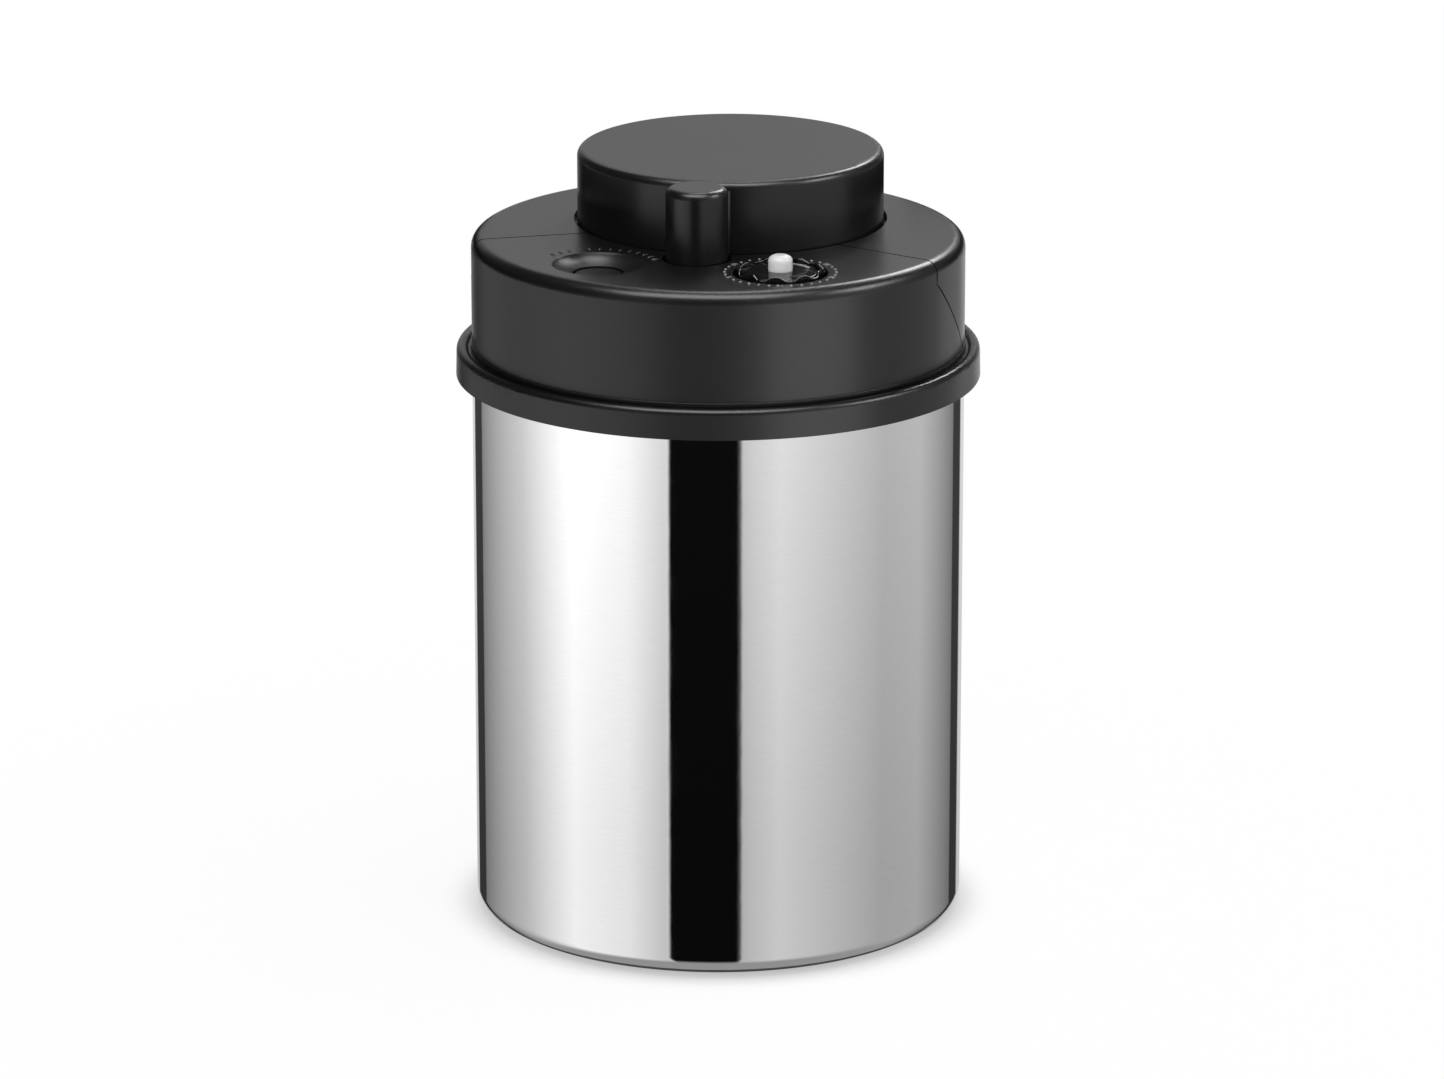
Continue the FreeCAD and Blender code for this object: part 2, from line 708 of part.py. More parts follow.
def cut_at_seam(body, side):
    """Cuts away what lies behind the seam (side 1) or in front of it (side -1)."""
    shift = -(s.seam_gap / 2) * side
    reach = cover_radius + s.overrun
    far = reach * side
    shoulder = root(cover_radius * cover_radius - s.seam_setback * s.seam_setback)
    apex = shoulder * tangent(s.seam_slant_angle) - s.seam_setback + shift
    wing = apex - reach * tangent(s.seam_slant_angle)
    plan = [(-reach, wing), (-reach, far), (reach, far), (reach, wing), (0, apex)]
    hole_top = cover_top + s.overrun
    extruded(body, lambda sketch: draw_outline(sketch, plan), kink_height, hole_top, cut=True)
    foot_low = seat_top - s.overrun
    kink_y = shift - s.seam_setback
    foot_y = kink_y + (kink_height - foot_low) * tangent(s.seam_rake_angle)
    before = volume_now(body)
    sketch = new_sketch(body, "YZ_Plane", (0, 0, 0))
    draw_outline(sketch, [(far, foot_low), (foot_y, foot_low), (kink_y, kink_height), (far, kink_height)])
    feature = body.newObject("PartDesign::Pocket", "extruded")
    feature.Profile = sketch
    feature.SideType = "Symmetric"
    feature.setExpression("Length", (reach * 2).text)
    finish_feature(body, feature, before)


def make_front_cover():
    body = make_cover("front_cover")
    cut_at_seam(body, 1)
    # Well of the dial, with the hole that its hub turns in
    round_hole(body, s.dial_hole_radius, plate_low, cover_top + s.overrun, dial_x, dial_y)
    turned(body, [
        (hub_hole, well_low),
        (well_outer, well_low),
        (well_outer, plate_low + s.cover_wall / 2),
        (s.dial_hole_radius, plate_low + s.cover_wall / 2),
        (s.dial_hole_radius, well_floor),
        (hub_hole, well_floor),
    ], dial_x, dial_y)
    # Dish of the indicator, with the tube that guides its disc
    middle = plate_low + s.cover_wall / 2
    turned(body, [
        (guide_inner, guide_low),
        (guide_outer, guide_low),
        (guide_outer, dish_floor - s.dish_wall),
        (s.dish_radius + s.well_side_wall, plate_low),
        (s.dish_radius + s.well_side_wall, middle),
        (guide_inner, middle),
    ], -dial_x, dial_y)
    turned(body, [
        (0, guide_low),
        (guide_inner, guide_low),
        (guide_inner, dish_floor),
        (s.dish_radius, cover_top),
        (s.dish_radius, cover_top + s.overrun),
        (0, cover_top + s.overrun),
    ], -dial_x, dial_y, cut=True)
    rounded(body, s.dish_edge_round, [(s.dish_radius, cover_top), (s.dial_hole_radius, cover_top)])
    return body


def make_rear_cover():
    body = make_cover("rear_cover")
    cut_at_seam(body, -1)
    return body


def make_pump_barrel():
    body = new_body("pump_barrel", 0, knob_y)
    turned(body, [
        (0, floor_low),
        (barrel_outer, floor_low),
        (barrel_outer, deck_top),
        (oring_inner - s.oring_gap, deck_top),
        (oring_inner - s.oring_gap, deck_top + s.oring_height + s.oring_gap),
        (oring_outer + s.oring_gap, deck_top + s.oring_height + s.oring_gap),
        (oring_outer + s.oring_gap, deck_top),
        (barrel_flange_radius, deck_top),
        (barrel_flange_radius, flange_top),
        (barrel_outer, flange_top),
        (barrel_outer, barrel_top),
        (bore_radius, barrel_top),
        (bore_radius, floor_top),
        (0, floor_top),
    ])
    round_hole(body, s.valve_stem_radius + s.valve_stem_gap, floor_low, floor_top)
    port = round_hole(body, s.port_radius, floor_low, floor_top, s.port_circle, 0)
    repeated(body, port, s.port_count)
    hole_x, hole_y = on_circle(barrel_screw_circle, FIRST_BARREL_SCREW_ANGLE)
    hole = round_hole(body, screw_hole, deck_top, flange_top, hole_x, hole_y)
    repeated(body, hole, s.barrel_screw_count)
    return body


def make_barrel_oring():
    body = new_body("barrel_oring", 0, knob_y)
    turned(body, ring_corners(oring_inner, oring_outer, deck_top, deck_top + s.oring_height))
    return body


def make_screws(label, circle, degrees, count, seat, head_up):
    """A ring of screws whose heads rest on the seat and whose shanks run the other way."""
    body = new_body(label, 0, knob_y)
    shank = s.barrel_flange + s.screw_bite if head_up else s.stop_thickness + s.screw_bite
    head_end = seat + s.screw_head_height if head_up else seat - s.screw_head_height
    tip = seat - shank if head_up else seat + shank
    x, y = on_circle(circle, degrees)
    corners = [(0, tip), (s.screw_radius, tip), (s.screw_radius, seat), (s.screw_head_radius, seat)]
    corners += [(s.screw_head_radius, head_end), (0, head_end)]
    screw = turned(body, corners, x, y)
    repeated(body, screw, count)
    return body


def make_inlet_valve():
    body = new_body("inlet_valve", 0, knob_y)
    turned(body, [
        (0, floor_low - s.valve_bulb_length),
        (s.valve_stem_radius, floor_low - s.valve_bulb_length),
        (s.valve_bulb_radius, floor_low),
        (s.valve_stem_radius, floor_low),
        (s.valve_stem_radius, floor_top),
        (s.valve_radius, floor_top),
        (s.valve_radius, floor_top + s.valve_thickness / 2),
        (s.valve_stem_radius, floor_top + s.valve_thickness),
        (0, floor_top + s.valve_thickness),
    ])
    return body


def make_inlet_filter():
    body = new_body("inlet_filter", 0, knob_y)
    turned(body, ring_corners(filter_eye, filter_outer, filter_low, floor_low))
    return body


def make_filter_cap():
    body = new_body("filter_cap", 0, knob_y)
    cap_low = filter_low - s.filter_cap_floor
    turned(body, [
        (0, cap_low),
        (filter_cap_outer, cap_low),
        (filter_cap_outer, floor_low + s.filter_cap_grip),
        (filter_cap_inner, floor_low + s.filter_cap_grip),
        (filter_cap_inner, filter_low),
        (0, filter_low),
    ])
    rounded(body, s.filter_cap_floor / 2, [(filter_cap_outer, cap_low)])
    for row_share, row_count in (
        (INNER_ROW_SHARE, s.perforation_count),
        (OUTER_ROW_SHARE, s.perforation_count * 2),
    ):
        hole = round_hole(body, s.perforation_radius, cap_low, filter_low, filter_outer * row_share, 0)
        repeated(body, hole, row_count)
    return body


def make_knob_cap():
    body = new_body("knob_cap", 0, knob_y)
    ring_low = knob_ceiling - s.spring_ring_height
    turned(body, [
        (0, stub_low),
        (s.stub_radius, stub_low),
        (s.stub_radius, knob_ceiling),
        (spring_ring_inner, knob_ceiling),
        (spring_ring_inner, ring_low),
        (spring_ring_outer, ring_low),
        (spring_ring_outer, knob_ceiling),
        (knob_inner, knob_ceiling),
        (knob_inner, skirt_low),
        (knob_radius, skirt_low),
        *round_shoulder(knob_radius, knob_top, s.knob_fillet),
        (0, knob_top),
    ])
    turned(body, [
        (0, skirt_low),
        (s.post_radius, skirt_low),
        *round_shoulder(s.post_radius, knob_top, s.knob_fillet),
        (0, knob_top),
    ], 0, -post_circle)
    round_hole(body, post_inner, skirt_low, knob_ceiling, 0, -post_circle)
    boss = round_bar(body, s.knob_boss_radius, skirt_low, knob_ceiling, 0, knob_boss_circle)
    repeated(body, boss, s.knob_screw_count)
    thread_depth = s.screw_bite + s.screw_tip_gap
    thread = round_hole(body, thread_hole, skirt_low, skirt_low + thread_depth, 0, knob_boss_circle)
    repeated(body, thread, s.knob_screw_count)
    round_hole(body, thread_hole, stub_low, stub_low + thread_depth)
    return body


def make_knob_stop_ring():
    body = new_body("knob_stop_ring", 0, knob_y)
    turned(body, [
        (boss_edge, stop_low),
        (stop_outer, stop_low),
        (stop_outer, stop_top),
        (stop_inner, stop_top),
        (stop_inner, skirt_low),
        (boss_edge, skirt_low),
    ])
    post_room = s.post_radius + s.stop_side_gap
    round_hole(body, post_room, skirt_low, stop_top, 0, -post_circle)
    hole = round_hole(body, screw_hole, stop_low, skirt_low, 0, knob_boss_circle)
    repeated(body, hole, s.knob_screw_count)
    return body


def make_piston_rod():
    body = new_body("piston_rod", 0, knob_y)
    turned(body, [
        (screw_hole, piston_top),
        (rod_outer, piston_top),
        (rod_outer, flap_top),
        (rod_collar_outer, flap_top),
        (rod_collar_outer, flap_top + s.rod_collar),
        (rod_outer, flap_top + s.rod_collar),
        (rod_outer, knob_ceiling),
        (rod_inner, knob_ceiling),
        (rod_inner, stub_low),
        (screw_hole, stub_low),
    ])
    return body


def make_piston():
    body = new_body("piston", 0, knob_y)
    seal_low = piston_low + (s.piston_height - s.seal_height) / 2 - s.seal_gap
    seal_high = seal_low + s.seal_height + s.seal_gap * 2
    head_room = piston_low + s.screw_head_height + s.screw_gap
    head_hole = s.screw_head_radius + s.screw_gap
    turned(body, [
        (head_hole, piston_low),
        (piston_radius, piston_low),
        (piston_radius, seal_low),
        (seal_inner, seal_low),
        (seal_inner, seal_high),
        (piston_radius, seal_high),
        (piston_radius, piston_top),
        (screw_hole, piston_top),
        (screw_hole, head_room),
        (head_hole, head_room),
    ])
    outlet = round_hole(body, s.outlet_radius, piston_low, piston_top, s.outlet_circle, 0)
    repeated(body, outlet, s.outlet_count)
    return body


def make_piston_seal():
    body = new_body("piston_seal", 0, knob_y)
    seal_low = piston_low + (s.piston_height - s.seal_height) / 2
    turned(body, ring_corners(seal_inner + s.seal_gap, seal_outer, seal_low, seal_low + s.seal_height))
    return body


def make_outlet_valve():
    body = new_body("outlet_valve", 0, knob_y)
    turned(body, ring_corners(rod_outer + s.rod_gap, flap_outer, piston_top, flap_top))
    return body


def make_piston_screw():
    body = new_body("piston_screw", 0, knob_y)
    head_top = piston_low + s.screw_head_height + s.screw_gap
    turned(body, [
        (0, head_top - s.screw_head_height),
        (s.screw_head_radius, head_top - s.screw_head_height),
        (s.screw_head_radius, head_top),
        (s.screw_radius, head_top),
        (s.screw_radius, stub_low + s.screw_bite),
        (0, stub_low + s.screw_bite),
    ])
    return body


def scalloped_disc(inset, low, high):
    """A disc with a wavy edge of crests and valleys in turn."""
    points = []
    steps = 2 * SIZES["dial_lobes"]
    for step in range(steps):
        radius = (dial_valley.value if step % 2 else dial_crest.value) - inset
        angle = math.tau * step / steps
        points.append(FreeCAD.Vector(radius * math.cos(angle), radius * math.sin(angle), low.value))
    edge = Part.BSplineCurve()
    edge.interpolate(Points=points, PeriodicFlag=True)
    face = Part.Face(Part.Wire([edge.toShape()]))
    return face.extrude(FreeCAD.Vector(0, 0, high.value - low.value))


def plain_bar(radius, low, high):
    return Part.makeCylinder(radius.value, high.value - low.value, FreeCAD.Vector(0, 0, low.value))


def placed_feature(label, shape, x, y):
    """Keeps a shape that was made about the Z axis as a sub-part at x, y."""
    feature = doc.addObject("Part::Feature", label)
    feature.Label = label
    feature.Shape = shape
    place = FreeCAD.Vector(as_size(x).value, as_size(y).value, 0)
    feature.Placement = FreeCAD.Placement(place, FreeCAD.Rotation())
    return feature


def make_date_dial():
    face = cover_top + s.dial_face_rise
    rim_top = cover_top + s.dial_rim_rise
    wheel = scalloped_disc(0, well_floor + s.dial_rest_gap, rim_top)
    wheel = wheel.cut(scalloped_disc(SIZES["dial_rim"], face, rim_top))
    groove_low = clip_low - s.clip_gap
    groove_radius = s.hub_radius - s.clip_groove
    for radius, low, high in (
        (s.hub_radius, hub_low, groove_low),
        (groove_radius, groove_low, well_low),
        (s.hub_radius, well_low, face),
    ):
        wheel = wheel.fuse(plain_bar(radius, low, high))
    wheel = wheel.cut(plain_bar(hub_bore, hub_low, rim_top))
    return placed_feature("date_dial", wheel.removeSplitter(), dial_x, dial_y)


def make_dial_clip():
    body = new_body("dial_clip", dial_x, dial_y)
    inner = s.hub_radius - s.clip_groove + s.clip_gap
    turned(body, ring_corners(inner, inner + s.clip_width, clip_low, clip_top))
    return body


def make_release_pin():
    body = new_body("release_pin", dial_x, dial_y)
    turned(body, [
        (0, plug_head_low),
        (s.pin_stem_radius, plug_head_low),
        (s.pin_stem_radius, collar_low),
        (s.pin_collar_radius, collar_low),
        (s.pin_collar_radius, collar_top),
        (s.pin_radius, collar_top),
        (s.pin_radius, pin_top),
        (0, pin_top),
    ])
    rounded(body, s.pin_dome, [(s.pin_radius, pin_top)])
    return body


def make_release_plug():
    body = new_body("release_plug", dial_x, dial_y)
    turned(body, ring_corners(s.pin_stem_radius, s.plug_head_radius, plug_head_low, plug_head_top))
    rounded(body, s.plug_edge_round, [(s.plug_head_radius, plug_head_low)])
    return body


def make_indicator_disc():
    body = new_body("indicator_disc", -dial_x, dial_y)
    turned(body, [
        (0, diaphragm_top),
        (s.indicator_stem_radius, diaphragm_top),
        (s.indicator_stem_radius, disc_low),
        (s.disc_radius, disc_low),
        (s.disc_radius, disc_top),
        (0, disc_top),
    ])
    return body


def make_indicator_diaphragm():
    body = new_body("indicator_diaphragm", -dial_x, dial_y)
    round_bar(body, pot_outer, pot_top, diaphragm_top)
    return body


def make_diaphragm_ring():
    body = new_body("diaphragm_ring", -dial_x, dial_y)
    turned(body, [
        (ring_hole, diaphragm_top),
        (ring_inner, diaphragm_top),
        (ring_inner, pot_top - s.ring_grip),
        (ring_outer, pot_top - s.ring_grip),
        (ring_outer, ring_top),
        (ring_hole, ring_top),
    ])
    return body


def arc_from(start, direction, end):
    """The circular edge that leaves start along direction and reaches end."""
    chord = end - start
    along = FreeCAD.Vector(chord).normalize()
    aside = direction - along * direction.dot(along)
    bulge = math.tan(direction.getAngle(along) / 2) * chord.Length / 2
    return Part.Arc(start, (start + end) / 2 + aside.normalize() * bulge, end).toShape()


def smooth_pair(start, start_way, end, end_way):
    """Two arcs that meet smoothly between two points with given directions."""
    chord = end - start
    ways = start_way + end_way
    spread = 2 * (1 - start_way.dot(end_way))
    pull = chord.dot(ways)
    reach = (math.sqrt(pull * pull + spread * chord.dot(chord)) - pull) / spread
    middle = (start + end + (start_way - end_way) * reach) / 2
    back = arc_from(end, end_way * -1, middle)
    return [arc_from(start, start_way, middle), back]


def make_spring(label, radius, wire, low, high, turns, x, y):
    """A round wire wound from the low seat to the high one."""
    quarter = math.tau / 4
    quarters = 4 * turns
    first = low.value + SIZES["spring_seat_gap"] + wire.value
    climb = (high.value - SIZES["spring_seat_gap"] - wire.value - first) / quarters
    points = []
    ways = []
    for step in range(quarters + 1):
        angle = quarter * step
        across = radius.value * math.cos(angle)
        along = radius.value * math.sin(angle)
        points.append(FreeCAD.Vector(across, along, first + climb * step))
        ways.append(FreeCAD.Vector(-along, across, climb / quarter).normalize())
    edges = []
    for step in range(quarters):
        edges += smooth_pair(points[step], ways[step], points[step + 1], ways[step + 1])
    path = Part.Wire(Part.__sortEdges__(edges))
    section = Part.Wire([Part.Circle(points[0], ways[0], wire.value).toShape()])
    coil = path.makePipeShell([section], True, False)
    expected = math.pi * wire.value ** 2 * path.Length
    gap = min((points[step + 4] - points[step]).Length for step in range(quarters - 3)) - 2 * wire.value
    print(f"{label}: least gap between turns {gap:.2f} mm, volume {coil.Volume / expected:.4f} of the wire's")
    return placed_feature(label, coil, x, y)


subparts = [
    make_steel_can(),
    make_lid_base(),
    make_main_gasket(),
    make_front_cover(),
    make_rear_cover(),
    make_pump_barrel(),
    make_barrel_oring(),
    make_screws(
        "barrel_screws", barrel_screw_circle, FIRST_BARREL_SCREW_ANGLE, s.barrel_screw_count, flange_top, True
    ),
    make_inlet_valve(),
    make_inlet_filter(),
    make_filter_cap(),
    make_knob_cap(),
    make_knob_stop_ring(),
    make_screws("knob_screws", knob_boss_circle, FULL_TURN / 4, s.knob_screw_count, stop_low, False),
    make_piston_rod(),
    make_piston(),
    make_piston_seal(),
    make_outlet_valve(),
    make_piston_screw(),
    make_date_dial(),
    make_dial_clip(),
    make_release_pin(),
    make_release_plug(),
    make_indicator_disc(),
    make_indicator_diaphragm(),
    make_diaphragm_ring(),
    make_spring(
        "pump_spring", pump_spring_radius, s.pump_wire, flange_top, knob_ceiling,
        SIZES["pump_spring_turns"], 0, knob_y,
    ),
    make_spring(
        "release_spring", release_spring_radius, s.release_wire, deck_top, collar_low,
        SIZES["release_spring_turns"], dial_x, dial_y,
    ),
    make_spring(
        "indicator_spring", indicator_spring_radius, s.indicator_wire, ring_top, disc_low,
        SIZES["indicator_spring_turns"], -dial_x, dial_y,
    ),
]

doc.recompute()
for thing in doc.Objects:
    if "Invalid" in thing.State or "Error" in thing.State:
        raise RuntimeError(f"{thing.Label} did not compute: {thing.State}")
for subpart in subparts:
    if subpart.Shape.isNull() or not subpart.Shape.isValid() or not subpart.Shape.Solids:
        raise RuntimeError(f"{subpart.Label} has no sound solid")

os.makedirs("parts", exist_ok=True)
for subpart in subparts:
    subpart.Shape.exportStep(f"parts/{subpart.Label}.step")
    box = subpart.Shape.BoundBox
    print(
        f"{subpart.Label}: {len(subpart.Shape.Solids)} solid(s), {subpart.Shape.Volume:.1f} mm3, "
        f"z {box.ZMin:.2f} to {box.ZMax:.2f}"
    )
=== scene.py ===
# %% [markdown]
# A vacuum seal canister: a polished steel can, closed by a black lid with a push pump, a date dial and a
# release pin. Its shape comes from a CAD model, which is loaded first as a fixed frame. What follows
# dresses that frame: each step says what a piece or a finish is on the real canister, and then makes it.

# %% Load the frame
import json
import math

import bmesh
import bpy
from mathutils import Matrix, Vector
from mathutils.bvhtree import BVHTree


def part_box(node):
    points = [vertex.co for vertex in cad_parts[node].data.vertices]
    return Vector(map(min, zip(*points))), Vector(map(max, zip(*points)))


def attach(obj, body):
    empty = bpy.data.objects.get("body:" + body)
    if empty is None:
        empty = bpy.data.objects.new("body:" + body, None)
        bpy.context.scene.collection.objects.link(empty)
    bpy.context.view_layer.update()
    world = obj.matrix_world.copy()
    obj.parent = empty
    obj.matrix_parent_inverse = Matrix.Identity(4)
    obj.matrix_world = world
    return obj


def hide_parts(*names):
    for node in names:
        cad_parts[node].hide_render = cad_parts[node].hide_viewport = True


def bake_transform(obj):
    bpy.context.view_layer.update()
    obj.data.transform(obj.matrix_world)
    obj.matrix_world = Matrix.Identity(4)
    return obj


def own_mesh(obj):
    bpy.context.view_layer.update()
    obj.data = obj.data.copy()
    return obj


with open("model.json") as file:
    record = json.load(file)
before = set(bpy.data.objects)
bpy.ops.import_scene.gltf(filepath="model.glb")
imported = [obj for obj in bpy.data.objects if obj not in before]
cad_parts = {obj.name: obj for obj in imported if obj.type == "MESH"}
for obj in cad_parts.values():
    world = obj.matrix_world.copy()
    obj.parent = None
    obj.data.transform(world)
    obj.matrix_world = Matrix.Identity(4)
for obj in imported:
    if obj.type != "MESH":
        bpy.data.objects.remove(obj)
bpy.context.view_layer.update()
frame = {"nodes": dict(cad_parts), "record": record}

MM = 0.001
scene = bpy.context.scene
scene.view_settings.view_transform = "Standard"
record = frame["record"]
body_of = {node: body for body, nodes in record["behaviour"]["bodies"].items() for node in nodes}
slot_of = {row["node"]: row["material_slot"] for row in record["subparts"]}

# %% [markdown]
# The camera stands a little right of the front and looks down at the lid. A long lens from a metre and a
# half away keeps the can's sides almost parallel, as a product picture does. The aim is a point inside
# the can.

# %% Set the camera
CAMERA_PLACE = Vector((0.2962, -1.5191, 0.5471))
CAMERA_AIM = Vector((0.00086, 0.00013, 0.0879))
LENS, SENSOR_WIDTH = 172.4, 36.0
camera_data = bpy.data.cameras.new("front_camera")
camera_data.lens = LENS
camera_data.sensor_width = SENSOR_WIDTH
camera = bpy.data.objects.new("front_camera", camera_data)
scene.collection.objects.link(camera)
camera.location = CAMERA_PLACE
camera.rotation_euler = (CAMERA_AIM - CAMERA_PLACE).to_track_quat("-Z", "Y").to_euler()
scene.camera = camera
print("camera distance in m:", round((CAMERA_AIM - CAMERA_PLACE).length, 3))

# %% [markdown]
# Node trees are wired by hand many times below. Three short helpers keep that readable: one adds a node
# with its settings and plain input values, one adds a sum of two inputs, and one maps a value from one
# range to another.


# %% Helpers for node trees
def add_node(tree, kind, inputs=None, **settings):
    """Adds a node. An input's value is a number, a colour or another node's output."""
    node = tree.nodes.new(kind)
    for name, value in settings.items():
        setattr(node, name, value)
    for name, value in (inputs or {}).items():
        if isinstance(value, bpy.types.NodeSocket):
            tree.links.new(value, node.inputs[name])
        else:
            node.inputs[name].default_value = value
    return node


def add_sum(tree, operation, first, second=0.0):
    """Adds a math node and gives its result."""
    return add_node(tree, "ShaderNodeMath", {0: first, 1: second}, operation=operation).outputs[0]


def add_range(tree, value, low, high, to_low=0.0, to_high=1.0, curve="SMOOTHSTEP"):
    """Maps a value from one range to another, smoothly if nothing else is said."""
    inputs = {"Value": value, "From Min": low, "From Max": high, "To Min": to_low, "To Max": to_high}
    return add_node(tree, "ShaderNodeMapRange", inputs, interpolation_type=curve).outputs["Result"]


# %% [markdown]
# A polished can is a mirror, so what it looks like is the room around it. The room is painted into the
# world as two plans of brightness by compass direction, one for what lies below eye level and one for
# what lies above it. Below, a large soft light stands to the left, a dimmer one to the right, a black
# flag between them behind the camera, and two dark gaps at the rear. Above, the rear wall is pale, and so
# is a patch on either side of the camera. An image of a studio could do the same, but a plan of a few
# numbers can be read and changed.

# %% Plan the room that the canister mirrors
FLAG_DARK = 0.004
GAP_DARK = 0.045
HALF_TURN = 180
# Compass direction in degrees (0 is the canister's front, growing to its right) and brightness
LOWER_PLAN = [
    (-151.5, 0.66), (-150.5, GAP_DARK), (-136, GAP_DARK), (-135, 0.24), (-93, 0.70), (-61, 1.30), (-32, 1.13),
    (-14, 0.79), (-12.1, 0.85), (-11.5, FLAG_DARK), (21, FLAG_DARK), (21.6, 0.64), (28, 0.74), (40, 0.86),
    (95, 0.52), (120, 0.55), (155, 0.21), (156, GAP_DARK), (169.5, GAP_DARK), (170.5, 0.70),
]
UPPER_PLAN = [
    (-178, 0.44), (-158, 0.59), (-140, 0.05), (-52, 0.04), (-38, 0.34), (-18, 0.34), (-8, 0.10), (18, 0.12),
    (32, 0.46), (50, 0.60), (92, 0.80), (110, 0.30), (150, 0.05), (162, 0.13), (178, 0.46),
]

world = bpy.data.worlds.new("studio_room")
world.use_nodes = True
scene.world = world
room = world.node_tree
room.nodes.clear()
heading = add_node(room, "ShaderNodeTexCoord").outputs["Generated"]
axes = add_node(room, "ShaderNodeSeparateXYZ", {"Vector": heading}).outputs
compass = add_sum(room, "ARCTAN2", axes["X"], add_sum(room, "MULTIPLY", axes["Y"], -1.0))
turn_share = add_range(room, compass, -math.pi, math.pi, curve="LINEAR")
rise = add_sum(room, "ARCSINE", axes["Z"])


def paint_plan(plan):
    """Paints a plan as a ramp of greys round the room."""
    ramp = add_node(room, "ShaderNodeValToRGB", {"Fac": turn_share})
    stops = ramp.color_ramp.elements
    while len(stops) < len(plan):
        stops.new(1.0)
    for stop, (direction, brightness) in zip(stops, plan):
        stop.position = (direction + HALF_TURN) / (2 * HALF_TURN)
        stop.color = (brightness, brightness, brightness, 1)
    return ramp.outputs["Color"]


lower_walls = paint_plan(LOWER_PLAN)
upper_walls = paint_plan(UPPER_PLAN)
print("room plans:", len(LOWER_PLAN), "and", len(UPPER_PLAN), "directions")

# %% [markdown]
# The plans change with height too. In the wall of the can the light falls off a little from the rim to
# the foot, as it does with any lamp that hangs above. Steeper rays look down at the pale table close by,
# and high up the ceiling is dark. Only glossy rays see the plans: the camera sees plain white, and matt
# surfaces get an even fill at about the level where a colour shows as it is written, so the plans shape
# the highlights and change no colour.

# %% Join the plans and the white background
FOOT_RISE, RIM_RISE = math.radians(-19.2), math.radians(-15.1)
FOOT_SHARE, RIM_SHARE = 0.83, 1.12
TABLE_NEAR, TABLE_FAR = math.radians(-52), math.radians(-32)
TABLE_LEVEL = 0.34
SKIRTING, DADO = math.radians(-11), math.radians(-1)
WALL_TOP, CEILING = math.radians(28), math.radians(52)
CEILING_SHARE = 0.15
FILL_LIGHT = 0.75
WHITE = (1, 1, 1, 1)
fall_off_share = add_range(room, rise, FOOT_RISE, RIM_RISE, FOOT_SHARE, RIM_SHARE, curve="LINEAR")
lower_light = add_sum(room, "MULTIPLY", lower_walls, fall_off_share)
far_light = add_sum(room, "SUBTRACT", lower_light, TABLE_LEVEL)
far_light = add_sum(room, "MULTIPLY", far_light, add_range(room, rise, TABLE_NEAR, TABLE_FAR))
lower_room = add_sum(room, "ADD", far_light, TABLE_LEVEL)
wall_share = add_range(room, rise, WALL_TOP, CEILING, 1.0, CEILING_SHARE)
upper_room = add_sum(room, "MULTIPLY", upper_walls, wall_share)
upper_share = add_range(room, rise, SKIRTING, DADO)
difference = add_sum(room, "SUBTRACT", upper_room, lower_room)
mirrored = add_sum(room, "ADD", lower_room, add_sum(room, "MULTIPLY", difference, upper_share))
path = add_node(room, "ShaderNodeLightPath").outputs
fill = add_node(room, "ShaderNodeBackground", {"Color": WHITE, "Strength": FILL_LIGHT})
mirror = add_node(room, "ShaderNodeBackground", {"Color": WHITE, "Strength": mirrored})
white = add_node(room, "ShaderNodeBackground", {"Color": WHITE, "Strength": 1.0})
lit_shares = {0: path["Is Glossy Ray"], 1: fill.outputs[0], 2: mirror.outputs[0]}
lit = add_node(room, "ShaderNodeMixShader", lit_shares)
seen = add_sum(room, "MAXIMUM", path["Is Camera Ray"], path["Is Transmission Ray"])
backdrop = add_node(room, "ShaderNodeMixShader", {0: seen, 1: lit.outputs[0], 2: white.outputs[0]})
add_node(room, "ShaderNodeOutputWorld", {"Surface": backdrop.outputs[0]})
print("fill light", FILL_LIGHT)

# %% [markdown]
# Black satin plastic shows its shape by the highlights on its rounded edges, and each highlight is the
# picture of one soft box. A small bright box behind draws the thin line along the rear and right edges,
# and a narrow one above it lights the hollow of the dish. One at the right gives the band on the right of
# the cover, and a wide one overhead gives the soft band along the front. All four hang high, because a
# flat top that is seen from the other side mirrors a low lamp as white glare. Three dim cards stand low
# round the lid. Light linking shows them to the lid alone, so the steel keeps its own room. The last card
# lights only the matt part of the pin, which glows in the picture as milky plastic does. The rest are
# highlights only: the fill has lit the colours already.

# %% Hang the soft boxes
LIT_POINT = Vector((0, 0, 0.15))
# Compass direction and rise in degrees, distance, width and height in metres, brightness
SOFT_BOXES = {
    "rear_box": (168, 37, 1.3, 0.39, 0.42, 12.0),
    "rear_top_box": (190, 60, 1.3, 0.36, 0.46, 4.6),
    "right_box": (91, 37, 1.3, 0.50, 0.40, 9.0),
    "top_box": (0, 72, 1.3, 1.30, 0.80, 6.0),
    "front_card": (8, -14, 0.36, 0.20, 0.14, 0.5),
    "right_card": (52, -12, 0.38, 0.28, 0.14, 1.2),
    "far_right_card": (150, -12, 0.38, 0.30, 0.14, 0.4),
    "pin_card": (11, 20, 0.60, 0.30, 0.30, 2.6),
}
lid_pieces = bpy.data.collections.new("lid_pieces")
pin_pieces = bpy.data.collections.new("pin_pieces")
CARD_PIECES = {
    "front_card": lid_pieces, "right_card": lid_pieces, "far_right_card": lid_pieces, "pin_card": pin_pieces,
}
MATT_CARDS = ("pin_card",)


